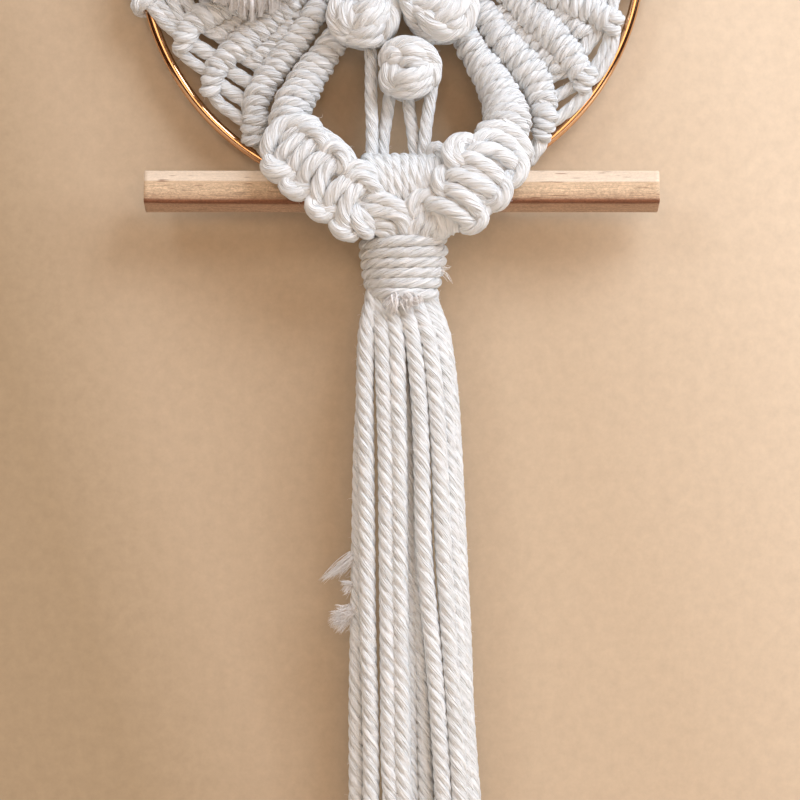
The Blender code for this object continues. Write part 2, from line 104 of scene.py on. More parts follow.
def cordAlong(line, outward=frontWay, radius=None, squash=(1.0, 1.0), sides=None, groove=None, pitch=None):
    # Four-ply cord: at angle a round the line the radius is r (1 - groove (1 - |sin 2 a| ^ crest)), and the
    # section makes a whole turn in each pitch, so the four grooves wind as an S. Both ends are rounded.
    sides = sides or cord["sides"]
    radius = cord["radius"] if radius is None else radius
    groove = cord["groove"] if groove is None else groove
    line = np.asarray(line, float)
    along = runLength(line)
    ahead = tangents(line)
    outward = np.broadcast_to(np.asarray(outward, float), line[:, :3].shape)
    high = unit(outward - ahead * np.sum(outward * ahead, axis=1, keepdims=True))
    side = np.cross(ahead, high)
    ply = 2 * math.pi * np.arange(sides) / sides
    crest = np.abs(np.sin(cord["plies"] / 2 * ply)) ** cord["crest"]
    twist = 2 * math.pi * along[:, None] / (pitch or cord["pitch"])
    turn = rng.uniform(0, 2 * math.pi) + ply[None, :] - twist
    thick = np.array(np.broadcast_to(radius, len(line)), float)
    fromEnd = np.clip(np.minimum(along, along[-1] - along) / cord["endRound"], 0, 1)
    thick *= np.sqrt(np.clip(1 - (1 - fromEnd) ** 2, cord["endLeast"], 1))
    reach = thick[:, None] * (1 - groove * (1 - crest))[None, :]
    points = line[:, None, :3] + (squash[0] * reach * np.cos(turn))[:, :, None] * high[:, None, :]
    points = points + (squash[1] * reach * np.sin(turn))[:, :, None] * side[:, None, :]
    return {"points": points[None], "along": along[None], "tone": rng.uniform(0, 1, 1), "line": line}


def addObject(name, data):
    made = bpy.data.objects.new(name, data)
    bpy.context.collection.objects.link(made)
    return made


mapPerMillimetre = 0.1


def gridPiece(name, grids, material, replaced):
    # Joins grids of points into one mesh. A grid holds some tubes of one kind: its points are numbered by
    # tube, ring and side. A closed grid's last ring meets its first; the others have a cap at both ends.
    # The map runs once round each ring, and mapPerMillimetre says how fast it runs along.
    points, loops, sizes, maps, tones = [], [], [], [], []
    offset = 0
    for grid in grids:
        tubes, rings, sides, _ = grid["points"].shape
        closed = grid.get("closed", False)
        i, j = np.meshgrid(np.arange(rings if closed else rings - 1), np.arange(sides), indexing="ij")
        k, ahead = (j + 1) % sides, (i + 1) % rings
        quads = np.stack([i * sides + j, i * sides + k, ahead * sides + k, ahead * sides + j], axis=-1)
        rim = np.arange(sides)
        caps = [] if closed else [rim[::-1], (rings - 1) * sides + rim]
        one = np.concatenate([quads.ravel()] + caps)
        around = np.stack([j, j + 1, j + 1, j], axis=-1) / sides
        around = np.broadcast_to(around, (tubes,) + around.shape)
        down = mapPerMillimetre * grid["along"][:, np.stack([i, i, i + 1, i + 1], axis=-1)]
        sideMap = np.stack([around, down], axis=-1).reshape(tubes, -1, 2)
        capMap = np.zeros((tubes, len(caps) * sides, 2))
        maps.append(np.concatenate([sideMap, capMap], axis=1).reshape(-1, 2))
        points.append(grid["points"].reshape(-1, 3))
        loops.append((one[None, :] + offset + rings * sides * np.arange(tubes)[:, None]).ravel())
        sizes.append(np.tile(np.array([4] * i.size + [sides] * len(caps)), tubes))
        tones.append(np.repeat(grid["tone"], rings * sides))
        offset += tubes * rings * sides
    points, loops, sizes = np.vstack(points) * millimetre, np.concatenate(loops), np.concatenate(sizes)
    mesh = bpy.data.meshes.new(name)
    mesh.vertices.add(len(points))
    mesh.vertices.foreach_set("co", points.astype(np.float32).ravel())
    mesh.loops.add(len(loops))
    mesh.loops.foreach_set("vertex_index", loops.astype(np.int32))
    mesh.polygons.add(len(sizes))
    mesh.polygons.foreach_set("loop_start", (np.cumsum(sizes) - sizes).astype(np.int32))
    mesh.update(calc_edges=True)
    mesh.uv_layers.new(name="cordMap").data.foreach_set("uv", np.vstack(maps).astype(np.float32).ravel())
    tone = mesh.attributes.new("cordTone", "FLOAT", "POINT")
    tone.data.foreach_set("value", np.concatenate(tones).astype(np.float32))
    mesh.validate()
    mesh.shade_smooth()
    mesh.materials.append(material)
    piece = addObject(name, mesh)
    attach(piece, "root")
    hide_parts(*replaced)
    print(name, "triangles", int((sizes - 2).sum()))


def toLinear(code):
    # sRGB hex to the linear colour that a shader wants
    parts = [int(code[k:k + 2], 16) / 255 for k in (1, 3, 5)]
    return tuple(c / 12.92 if c <= 0.04045 else ((c + 0.055) / 1.055) ** 2.4 for c in parts) + (1.0,)


def setNode(tree, node, settings):
    # A setting that names a socket sets it, or links it to the node or output given: a node stands for its
    # first output. Stops are a colour ramp's, and the rest are the node's own settings.
    for key, value in settings.items():
        if key == "stops":
            for place, code in value[1:-1]:
                node.color_ramp.elements.new(place).color = toLinear(code)
            for end in (0, -1):
                node.color_ramp.elements[end].position = value[end][0]
                node.color_ramp.elements[end].color = toLinear(value[end][1])
        elif isinstance(value, (bpy.types.Node, bpy.types.NodeSocket)):
            tree.links.new(getattr(value, "outputs", [value])[0], node.inputs[key])
        elif isinstance(key, int) or key in node.inputs:
            node.inputs[key].default_value = value
        else:
            setattr(node, key, value)
    return node


def addNode(tree, kind, settings):
    return setNode(tree, tree.nodes.new("ShaderNode" + kind), settings)


def newMaterial(name):
    made = bpy.data.materials.new(name)
    made.use_nodes = True
    return made, made.node_tree, made.node_tree.nodes["Principled BSDF"]


cotton = {"stops": [(0.05, "#BEC1C1"), (0.26, "#E0E4E4"), (0.5, "#EAEEEF"), (0.95, "#F0F3F4")],
          "yarnPerTurn": 21, "yarnLean": -3.2, "yarnRun": 1.3, "ownPlace": 37.0, "yarnShare": 0.58,
          "grooveShadeShare": 0.34, "plyCrest": 0.5, "bump": 0.55,
          "finish": {"Roughness": 0.92, "Specular IOR Level": 0.15, "Sheen Weight": 0.12,
                     "Sheen Roughness": 0.5}}


def twistedCotton():
    # Cotton yarn plied into cord: matt and white, with fine yarn lines that lean along each ply, and
    # painted
    # shade: a darker line along the groove where the plies meet
    made, tree, shader = newMaterial("twistedCotton")
    uv = addNode(tree, "UVMap", {"uv_map": "cordMap"})
    split = addNode(tree, "SeparateXYZ", {"Vector": uv})
    around, along = split.outputs["X"], split.outputs["Y"]
    skew = addNode(tree, "Math", {"operation": "MULTIPLY", 0: along, 1: cotton["yarnLean"]})
    lean = addNode(tree, "Math", {"operation": "MULTIPLY_ADD", 0: around, 1: cotton["yarnPerTurn"],
                                  2: skew})
    run = addNode(tree, "Math", {"operation": "MULTIPLY", 0: along, 1: cotton["yarnRun"]})
    tone = addNode(tree, "Attribute", {"attribute_name": "cordTone"})
    shift = addNode(tree, "Math", {"operation": "MULTIPLY", 0: tone.outputs["Fac"], 1: cotton["ownPlace"]})
    place = addNode(tree, "CombineXYZ", {"X": lean, "Y": run, "Z": shift})
    yarn = addNode(tree, "TexNoise", {"Scale": 1.0, "Detail": 2.5, "Roughness": 0.65, "Vector": place})
    sharp = addNode(tree, "MapRange", {"From Min": 0.36, "From Max": 0.62, "Value": yarn})
    # painted shade: the colour darkens in the grooves where the plies meet
    wave = addNode(tree, "Math", {"operation": "MULTIPLY", 0: around, 1: cord["plies"] * math.pi})
    sine = addNode(tree, "Math", {"operation": "SINE", 0: wave})
    crest = addNode(tree, "Math", {"operation": "ABSOLUTE", 0: sine})
    ridge = addNode(tree, "Math", {"operation": "POWER", 0: crest, 1: cotton["plyCrest"]})
    paintedGrooveShade = addNode(tree, "Math", {"operation": "MULTIPLY", 0: ridge, 1: cotton["grooveShadeShare"]})
    blend = addNode(tree, "Math", {"operation": "MULTIPLY_ADD", 0: sharp, 1: cotton["yarnShare"], 2: paintedGrooveShade})
    colour = addNode(tree, "ValToRGB", {"stops": cotton["stops"], "Fac": blend})
    bump = addNode(tree, "Bump", {"Strength": 0.9, "Distance": cotton["bump"] * millimetre,
                                  "Height": sharp})
    setNode(tree, shader, {"Base Color": colour, "Normal": bump, **cotton["finish"]})
    return made


loose = {"stops": [(0.0, "#DAD7D4"), (1.0, "#FCFCFB")],
         "finish": {"Roughness": 0.9, "Specular IOR Level": 0.15, "Sheen Weight": 0.2}}


def looseCotton():
    # Combed and cut cotton fibre: thin matt strands, each with its own white
    made, tree, shader = newMaterial("looseCotton")
    tone = addNode(tree, "Attribute", {"attribute_name": "cordTone"})
    colour = addNode(tree, "ValToRGB", {"stops": loose["stops"], "Fac": tone.outputs["Fac"]})
    setNode(tree, shader, {"Base Color": colour, **loose["finish"]})
    return made


gold = {"colour": "#E6B88E", "linesPerMetre": 90.0, "roughness": (0.08, 0.2)}


def goldPlate():
    # Drawn steel wire with a polished gold-coloured plate: bright, with faint draw lines
    made, tree, shader = newMaterial("goldPlate")
    spot = addNode(tree, "TexCoord", {})
    noise = addNode(tree, "TexNoise", {"Scale": gold["linesPerMetre"], "Detail": 4.0,
                                       "Vector": spot.outputs["Object"]})
    smooth, worn = gold["roughness"]
    rough = addNode(tree, "MapRange", {"To Min": smooth, "To Max": worn, "Value": noise})
    setNode(tree, shader, {"Base Color": toLinear(gold["colour"]), "Metallic": 1.0, "Roughness": rough})
    return made


# The bands, partly grain and partly painted shade, run from reach above the bar's middle to reach below it,
# and each pattern's scale says how often it repeats in a millimetre along the grain, in depth and in height
pine = {"middleZ": 147.4, "reach": 7.0, "wander": 1.6, "wanderScale": (0.012, 0.05, 0.05),
        "fibreScale": (0.14, 4.0, 4.0), "streakScale": (0.15, 1.9, 1.9), "scratchScale": (1.2, 2.1, 2.1),
        "streak": "#6E4226", "streakFrom": 0.67, "streakTo": 0.74, "streakMost": 0.75,
        "contrast": (0.9, 3.2), "meanFibre": 0.25, "bump": 0.15,
        "finish": {"Roughness": 0.62, "Specular IOR Level": 0.3},
        "bands": [(0.0, "#D3C1AB"), (0.3, "#DDCDB8"), (0.33, "#C8AE8F"), (0.5, "#C7AD8E"),
                  (0.67, "#AD8F72"), (0.72, "#7F5238"), (0.78, "#784C34"), (0.81, "#AC8B71"),
                  (1.0, "#B6997F")]}


def planedPine():
    # Planed and lightly sanded pine: a colour that is partly grain and partly painted shade, pale on top
    # and darker below, fine brown latewood lines, small cross scratches
    made, tree, shader = newMaterial("planedPine")
    spot = addNode(tree, "TexCoord", {})
    # millimetres from the bar's middle, so that the bands keep their real width
    turned = addNode(tree, "Mapping", {"Scale": (1 / millimetre,) * 3, "Location": (0, 0, pine["middleZ"]),
                                       "Vector": spot.outputs["Object"]})
    split = addNode(tree, "SeparateXYZ", {"Vector": turned})
    wander = addNode(tree, "Mapping", {"Scale": pine["wanderScale"], "Vector": turned})
    wave = addNode(tree, "TexNoise", {"Scale": 1.0, "Detail": 2.0, "Vector": wander})
    lift = addNode(tree, "Math", {"operation": "MULTIPLY_ADD", 0: wave, 1: pine["wander"],
                                  2: split.outputs["Z"]})
    top, foot = pine["reach"] + pine["wander"] / 2, -pine["reach"] + pine["wander"] / 2
    # painted shade and grain: the colour by height is pale on top and darker below, with a brown latewood
    # line
    band = addNode(tree, "MapRange", {"From Min": top, "From Max": foot, "Value": lift})
    colour = addNode(tree, "ValToRGB", {"stops": pine["bands"], "Fac": band})
    # fibres along the grain, the dark ends of resin canals, and short marks left by the sandpaper
    fibreSpace = addNode(tree, "Mapping", {"Scale": pine["fibreScale"], "Vector": turned})
    fibre = addNode(tree, "TexNoise", {"Scale": 1.0, "Detail": 4.0, "Roughness": 0.7, "Vector": fibreSpace})
    streakSpace = addNode(tree, "Mapping", {"Scale": pine["streakScale"], "Vector": turned})
    streak = addNode(tree, "TexNoise", {"Scale": 1.0, "Detail": 1.0, "Vector": streakSpace})
    streakOn = addNode(tree, "MapRange", {"From Min": pine["streakFrom"], "From Max": pine["streakTo"],
                                          "To Max": pine["streakMost"], "Value": streak})
    scratchSpace = addNode(tree, "Mapping", {"Scale": pine["scratchScale"], "Vector": turned})
    scratch = addNode(tree, "TexNoise", {"Scale": 1.0, "Detail": 3.0, "Roughness": 0.75,
                                         "Vector": scratchSpace})
    fine = addNode(tree, "Math", {"operation": "MULTIPLY", 0: fibre, 1: scratch})
    # the pale band is smooth and the marks show more below it
    rough = addNode(tree, "MapRange", {"From Min": 0.3, "From Max": 0.45, "To Min": pine["contrast"][0],
                                       "To Max": pine["contrast"][1], "Value": band})
    offset = addNode(tree, "Math", {"operation": "SUBTRACT", 0: fine, 1: pine["meanFibre"]})
    shade = addNode(tree, "Math", {"operation": "MULTIPLY_ADD", 0: offset, 1: rough, 2: 1.0})
    toned = addNode(tree, "VectorMath", {"operation": "SCALE", "Vector": colour, "Scale": shade})
    dark = addNode(tree, "Mix", {"data_type": "RGBA", 0: streakOn, 6: toned, 7: toLinear(pine["streak"])})
    bump = addNode(tree, "Bump", {"Strength": 0.6, "Distance": pine["bump"] * millimetre, "Height": fine})
    setNode(tree, shader, {"Base Color": dark.outputs[2], "Normal": bump, **pine["finish"]})
    return made


cottonMaterial = twistedCotton()
looseMaterial = looseCotton()
goldMaterial = goldPlate()
pineMaterial = planedPine()
print("materials made")

sensorWidth = 36.0


def makeCamera():
    data = bpy.data.cameras.new("photoCamera")
    data.sensor_width = sensorWidth
    data.lens = sensorWidth * picture["distance"] / (2 * picture["middle"] * picture["unit"])
    camera = addObject("photoCamera", data)
    camera.location = (lookX * millimetre, -picture["distance"] * millimetre, lookZ * millimetre)
    camera.rotation_euler = (math.pi / 2, 0, 0)
    bpy.context.scene.camera = camera


# The card's colour carries painted shade that darkens it towards the lower left, where the light falls off:
# the stops run over x + lean z, in metres
backdrop = {"gap": 7.5, "half": 900.0, "floorDrop": 480.0, "floor": "#DAD4CB",
            "tones": [(0.05, "#AD987A"), (0.2, "#C4B095"), (0.65, "#C8B499"), (0.95, "#D9C7AE")],
            "lean": 0.3, "paintedShadeFall": (-0.19, 0.09), "pulpPerMetre": 260.0, "mottle": (0.9, 1.06)}


def stageSheet(name, corners, material):
    mesh = bpy.data.meshes.new(name)
    mesh.from_pydata(corners, [], [(0, 1, 2, 3)])
    mesh.materials.append(material)
    piece = addObject(name, mesh)


def kraftCard():
    # Matt card with a fine pulp mottle and painted shade towards the lower left. From behind it is clear,
    # so that the hanging's back can be seen.
    made, tree, shader = newMaterial("kraftCard")
    spot = addNode(tree, "TexCoord", {})
    pulp = addNode(tree, "TexNoise", {"Scale": backdrop["pulpPerMetre"], "Detail": 5.0, "Roughness": 0.7,
                                      "Vector": spot.outputs["Object"]})
    dim, bright = backdrop["mottle"]
    mottle = addNode(tree, "MapRange", {"From Min": 0.25, "From Max": 0.75, "To Min": dim, "To Max": bright,
                                        "Value": pulp})
    split = addNode(tree, "SeparateXYZ", {"Vector": spot.outputs["Object"]})
    slant = addNode(tree, "Math", {"operation": "MULTIPLY_ADD", 0: split.outputs["Z"], 1: backdrop["lean"],
                                   2: split.outputs["X"]})
    # painted shade: the card's colour grows darker towards the lower left, standing in for the light
    # falling off
    low, high = backdrop["paintedShadeFall"]
    paintedShadeFall = addNode(tree, "MapRange", {"From Min": low, "From Max": high, "Value": slant})
    tone = addNode(tree, "ValToRGB", {"stops": backdrop["tones"], "Fac": paintedShadeFall})
    toned = addNode(tree, "VectorMath", {"operation": "SCALE", "Vector": tone, "Scale": mottle})
    setNode(tree, shader, {"Base Color": toned, "Roughness": 0.9})
    facing = addNode(tree, "NewGeometry", {})
    clear = addNode(tree, "BsdfTransparent", {})
    mix = addNode(tree, "MixShader", {"Fac": facing.outputs["Backfacing"], 1: shader, 2: clear})
    setNode(tree, tree.nodes["Material Output"], {"Surface": mix})
    return made


def makeStage():
    half, y, low = (backdrop[key] * millimetre for key in ("half", "gap", "floorDrop"))
    corners = [(-half, y, -low), (half, y, -low), (half, y, half), (-half, y, half)]
    stageSheet("backCard", corners, kraftCard())
    floorMaterial, tree, shader = newMaterial("paleFloor")
    setNode(tree, shader, {"Base Color": toLinear(backdrop["floor"]), "Roughness": 0.8})
    corners = [(-half, -half, -low), (half, -half, -low), (half, half, -low), (-half, half, -low)]
    stageSheet("floor", corners, floorMaterial)


lights = {
    "key": {"place": (440, -620, 520), "size": 400, "power": 4.7, "colour": "#E8F1FF"},
    "side": {"place": (600, -300, 130), "size": 440, "power": 3.5, "colour": "#E8F1FF"},
    "fill": {"place": (-560, -760, 420), "size": 260, "power": 1.8, "colour": "#F4F8FF"},
    "front": {"place": (80, -1150, -100), "size": 600, "power": 2.5, "colour": "#FFCDA2"},
    "low": {"place": (640, -200, -440), "size": 200, "power": 0.2, "colour": "#FFF6EC"},
    "rear": {"place": (300, 900, 300), "size": 600, "power": 1.0, "colour": "#FFFFFF"},
}
# The studio glows warm from below and is bright overhead, with a bright strip just above the level of the
# eye and dim walls: the stops run from straight down to straight up
studio = {"aim": (0.0, 0.0, -150.0), "strength": 1.3,
          "sky": [(0.0, "#E8AC7A"), (0.08, "#DC9F6E"), (0.14, "#40220F"), (0.51, "#2A150A"),
                  (0.55, "#FFE2BC"), (0.6, "#FFE2BC"), (0.64, "#5A361C"), (0.84, "#6A4022"),
                  (0.9, "#F1F3F6"), (1.0, "#F1F3F6")]}


def makeLights():
    for name, given in lights.items():
        data = bpy.data.lights.new(name, "AREA")
        data.shape = "SQUARE"
        data.size = given["size"] * millimetre
        data.energy = given["power"]
        data.color = toLinear(given["colour"])[:3]
        lamp = addObject(name, data)
        lamp.location = tuple(c * millimetre for c in given["place"])
        away = np.array(given["place"], float) - studio["aim"]
        tip = math.acos(away[2] / np.linalg.norm(away))
        lamp.rotation_euler = (tip, 0, math.atan2(away[1], away[0]) + math.pi / 2)
    world = bpy.data.worlds.new("studio")
    world.use_nodes = True
    tree = world.node_tree
    spot = addNode(tree, "TexCoord", {})
    split = addNode(tree, "SeparateXYZ", {"Vector": spot.outputs["Generated"]})
    height = addNode(tree, "Math", {"operation": "MULTIPLY_ADD", 0: split.outputs["Z"], 1: 0.5, 2: 0.5})
    shade = addNode(tree, "ValToRGB", {"stops": studio["sky"], "Fac": height})
    setNode(tree, tree.nodes["Background"], {"Color": shade, "Strength": studio["strength"]})
    bpy.context.scene.world = world
    bpy.context.scene.view_settings.view_transform = "Standard"


makeCamera()
makeStage()
makeLights()
print("camera, stage and lights made")


def ringWire():
    # A circle of the ring's radius carried round the wire's own circle
    a = 2 * math.pi * np.arange(ring["cuts"] + 1) / ring["cuts"]
    b = 2 * math.pi * np.arange(ring["sides"]) / ring["sides"]
    reach = ring["radius"] + ring["wire"] * np.cos(b)[None, :]
    x = reach * np.sin(a[:-1])[:, None]
    z = reach * np.cos(a[:-1])[:, None] - ring["drop"]
    y = np.broadcast_to(-ring["wire"] * np.sin(b)[None, :], x.shape)
    grid = {"points": np.stack([x, y, z], axis=-1)[None], "along": a[None] * ring["radius"], "tone": [0.5],
            "closed": True}
    gridPiece("ringWire", [grid], goldMaterial, ("metal_ring",))


# The bar's ends are taken on its front face, and each end has a small bevel, endRun long and endInset deep
bar = {"left": 144.0, "right": 659.5, "middleV": 190.75, "depth": -8.0, "faceDepth": -12.0, "side": 10.0,
       "turn": -16.5, "edge": 0.8, "endRun": 0.25, "endInset": 0.3, "cuts": 120, "cornerCuts": 7}


def pineBar():
    # A square section with rounded corners, turned a little, carried along the bar
    ends = fromPicture([(bar[key], bar["middleV"], bar["faceDepth"]) for key in ("left", "right")])
    xs = np.linspace(ends[0, 0], ends[1, 0], bar["cuts"])
    xs = np.concatenate([[xs[0], xs[0] + bar["endRun"]], xs[1:-1], [xs[-1] - bar["endRun"], xs[-1]]])
    inset = np.zeros(len(xs))
    inset[[0, -1]] = bar["endInset"]
    corner = np.radians(np.linspace(0, 90, bar["cornerCuts"]))
    half = bar["side"] / 2
    flat = half - bar["edge"]
    rounds = []
    for k, (cx, cy) in enumerate([(1, 1), (-1, 1), (-1, -1), (1, -1)]):
        a = corner + k * math.pi / 2
        edge = [cx * flat + bar["edge"] * np.cos(a), cy * flat + bar["edge"] * np.sin(a)]
        rounds.append(np.stack(edge, axis=1))
    section = np.vstack(rounds)
    lean = math.radians(bar["turn"])
    y = section[:, 0] * math.cos(lean) - section[:, 1] * math.sin(lean)
    z = section[:, 0] * math.sin(lean) + section[:, 1] * math.cos(lean)
    shrink = (1 - inset / half)[:, None]
    points = np.stack([np.repeat(xs[:, None], len(y), axis=1), bar["depth"] + y[None, :] * shrink,
                       ends[0, 2] + z[None, :] * shrink], axis=-1)
    grid = {"points": points[None], "along": (xs - xs[0])[None], "tone": [0.5]}
    gridPiece("pineBar", [grid], pineMaterial, ("wooden_bar",))


ringWire()
pineBar()


allCords = []


def cottonPiece(name, cords, replaced=("knotted_panel",)):
    # One mesh of plied cords, which are kept for the fuzz that stands off them
    gridPiece(name, cords, cottonMaterial, replaced)
    allCords.extend(cords)


def coilAround(axis, turns, deep, wide, tilt=0.0, wobble=0.0, perTurn=24, start=0.0, rise=0.0, hand=1):
    # Turns of cord round an axis: point = axis(s) + deep cos(a) front + wide sin(a) side, where a grows
    # by a whole turn for each wrap and s is the share of the way, shifted by tilt cos(a).
    # Rise lifts the right side of a turn along the axis, the first and last half turns draw in, and hand
    # says which way the cord winds.
    drawIn = 0.25
    count = int(turns * perTurn) + 1
    t = np.linspace(0, 1, count)
    a = start + 2 * math.pi * turns * t
    s = np.clip(t + tilt * np.cos(a) / turns, 0, 1)
    share = np.linspace(0, 1, len(axis))
    ahead = tangents(axis)
    centre = rowsAt(s, share, axis[:, :3])
    ahead = unit(rowsAt(s, share, ahead))
    front = np.array([frontWay], float)
    front = unit(front - ahead * np.sum(front * ahead, axis=1, keepdims=True))
    side = np.cross(ahead, front)
    deep, wide, rise = (np.interp(t, np.linspace(0, 1, np.size(v)), np.atleast_1d(v))
                        for v in (deep, wide, rise))
    knots = np.arange(0, int(turns) + 3, 0.5)
    bump, slide = (np.interp(t * turns, knots, rng.normal(0, wobble, len(knots))) for _ in range(2))
    hold = 1 - drawIn * (1 - np.clip(2 * turns * np.minimum(t, 1 - t), 0, 1)) ** 2
    cosA, sinA = np.cos(a)[:, None], hand * np.sin(a)[:, None]
    deep, wide = ((deep + bump) * hold)[:, None], ((wide + bump) * hold)[:, None]
    line = centre + deep * cosA * front + wide * sinA * side
    line = line + slide[:, None] * ahead + rise[:, None] * sinA * ahead
    return line, unit(wide * cosA * front + deep * sinA * side)


# Ribs: points u, v, depth, and half width in millimetres, from the foot to the top
leftRibs = [
    [(285, 134, -13, 5.0), (288, 124, -11.5, 6.4), (292, 112, -10, 6.4), (297, 99, -8.5, 6.1),
     (308, 79, -6.5, 5.7), (322, 59, -5.5, 5.2), (337, 38, -5, 4.8), (346, 26, -5, 4.4)],
    [(253, 120, -4.5, 3.7), (256, 106, -4.5, 4.3), (261, 90, -4, 4.5), (273, 71, -3.5, 4.5),
     (287, 53, -3.5, 4.4), (301, 35, -3.5, 4.3), (313, 15, -4, 4.2), (324, -6, -4, 4.2)],
    [(213, 69, -3.5, 3.7), (224, 60, -3.5, 4.3), (238, 47, -3, 4.8), (250, 36, -3, 4.8),
     (264, 24, -3, 4.7), (278, 11, -3, 4.6), (294, -4, -3.5, 4.4), (306, -16, -3.5, 4.2)],
    [(183, 34, -2.8, 3.9), (192, 25, -3, 4.2), (205, 16, -3, 4.5), (222, 8, -3, 4.6),
     (245, -4, -3, 4.4), (268, -14, -3, 4.2), (292, -22, -3.5, 4.0)],
]
rightRibs = [
    [(508, 142, -13.5, 5.5), (506, 131, -12, 7.4), (507, 119, -10, 7.3), (503, 103, -8, 6.7),
     (495, 85, -6.5, 6.0), (483, 66, -5.5, 5.2), (471, 48, -5, 4.7), (461, 28, -5, 4.3)],
    [(545, 117, -4.5, 4.0), (543, 104, -4.5, 4.7), (539, 91, -4, 5.0), (532, 77, -4, 5.4),
     (521, 61, -3.7, 5.4), (507, 46, -3.7, 5.2), (494, 30, -3.7, 4.8), (484, 12, -3.7, 4.5),
     (475, -4, -4, 4.2)],
    [(584, 76, -3.5, 4.2), (576, 66, -3.3, 4.7), (566, 52, -3, 5.2), (554, 37, -3, 5.3),
     (540, 23, -3, 5.2), (526, 9, -3, 5.0), (511, -5, -3.5, 4.6), (498, -18, -3.5, 4.2)],
    [(613, 22, -2.8, 3.8), (605, 17, -3, 4.3), (592, 11, -3, 4.6), (578, 5, -3, 4.6),
     (561, -1, -3, 4.6), (540, -10, -3, 4.3), (516, -22, -3.5, 4.0)],
]
# The ribs above the picture's top edge, from the ring's centre: foot, middle and top
leftUpperRibs = [
    [(-69.6, -1.8, -12.5, 4.0), (-47, -2.8, -7.4, 4.3), (-22, -3.5, -6, 4.0)],
    [(-66, -1.8, 4, 4.0), (-43.3, -2.6, 8.3, 4.3), (-17, -3, 5, 4.0)],
]
rightUpperRibs = [
    [(70.6, -1.8, -8, 4.0), (48.7, -2.8, -2.7, 4.3), (24, -3.5, 0, 4.0)],
    [(66, -1.8, 8.5, 4.0), (44.2, -2.6, 11.9, 4.3), (19, -3, 9, 4.0)],
]
# Knots at the ends of the ribs
leftKnots = [
    [(192, 25, -3.4, 3.6), (185, 36, -3.9, 3.9), (181, 49, -3.4, 3.3)],
    [(217, 68, -3.6, 3.5), (212, 80, -4.0, 3.7), (209, 93, -3.4, 3.2)],
    [(258, 114, -4.4, 4.1), (254, 128, -4.8, 4.2), (252, 142, -4.4, 3.5)],
]
rightKnots = [
    [(614, 10, -3.4, 3.2), (613, 21, -3.8, 3.4), (611, 32, -3.4, 3.0)],
    [(589, 64, -3.6, 3.7), (585, 77, -4.0, 3.9), (581, 90, -3.4, 3.3)],
    [(547, 108, -4.4, 4.2), (545, 122, -4.8, 4.0), (541, 138, -4.4, 3.2)],
]
# Small turns that show between the ribs
leftUnder = [
    [(216, 36, -2.0, 3.2), (229, 28, -2.0, 3.2), (246, 15, -2.0, 3.2)],
    [(252, 62, -2.0, 3.2), (264, 52, -2.0, 3.2), (281, 34, -2.0, 3.2), (296, 14, -2.0, 3.2)],
]
rightUnder = [
    [(560, 74, -2.2, 3.5), (549, 60, -2.2, 3.5), (533, 43, -2.2, 3.4), (514, 26, -2.2, 3.4),
     (500, 9, -2.2, 3.4)],
    [(586, 37, -2.2, 3.5), (573, 24, -2.2, 3.5), (556, 10, -2.2, 3.4)],
]
# Cords from rib to rib: depth, radius, and their run
leftLinks = [
    (-2.4, 1.8, [(181, 42), (177, 48), (186, 57), (195, 64), (206, 72), (212, 78)]),
    (-2.4, 2.0, [(210, 86), (213, 95), (221, 105), (231, 112), (242, 120), (250, 125)]),
    (-2.4, 1.8, [(252, 134), (256, 141), (262, 149), (271, 160), (277, 167)]),
    (-1.9, 2.4, [(188, 41), (199, 48), (209, 54), (220, 62)]),
    (-1.9, 2.3, [(200, 26), (206, 28), (217, 34), (230, 42)]),
    (-1.9, 2.3, [(216, 82), (226, 89), (237, 96), (252, 105)]),
    (-1.9, 2.3, [(224, 66), (232, 72), (243, 79), (256, 87)]),
    (-1.9, 2.3, [(234, 50), (243, 56), (252, 62), (266, 70)]),
    (-2.6, 2.0, [(134, 12), (139, 2), (148, 3), (158, 14), (167, 25), (182, 36)]),
    (-2.2, 1.9, [(142, -14), (152, -4), (163, 8), (174, 19), (186, 28)]),
    (-2.0, 2.0, [(170, -20), (180, -6), (189, 6), (202, 18)]),
]
rightLinks = [
    (-2.4, 1.7, [(613, 26), (615, 36), (612, 49), (606, 62), (598, 75), (590, 82)]),
    (-2.6, 1.6, [(608, 26), (608, 37), (604, 49), (598, 61), (590, 72), (584, 78)]),
    (-2.0, 1.9, [(596, 16), (592, 26), (587, 38), (580, 54)]),
    (-1.8, 1.7, [(604, 24), (598, 34), (590, 44), (582, 56)]),
    (-2.4, 2.0, [(588, 86), (585, 94), (577, 103), (568, 111), (558, 118), (549, 124)]),
    (-1.9, 1.9, [(582, 80), (574, 86), (562, 93), (548, 102)]),
    (-1.9, 1.7, [(580, 66), (570, 71), (556, 76), (544, 82)]),
    (-3.8, 2.6, [(543, 130), (541, 140), (536, 149), (530, 157), (525, 166)]),
]
# How the cord of a rib and of a small knot is wound, and the core inside the turns
ribWrap = {"spacing": 3.15, "radius": 2.15, "squash": (0.9, 0.95), "tilt": 0.35, "wobble": 0.26,
           "uneven": 0.07, "sides": 20, "groove": 0.22, "pitch": 12.5}
smallWrap = {"spacing": 3.0, "radius": 1.95, "squash": (0.95, 0.95), "tilt": 0.25, "wobble": 0.2,
             "uneven": 0.06, "sides": 20, "groove": 0.22, "pitch": 12.0}
wrapCore = {"over": 0.5, "squash": (0.9, 1.0), "sides": 16, "step": 0.7}


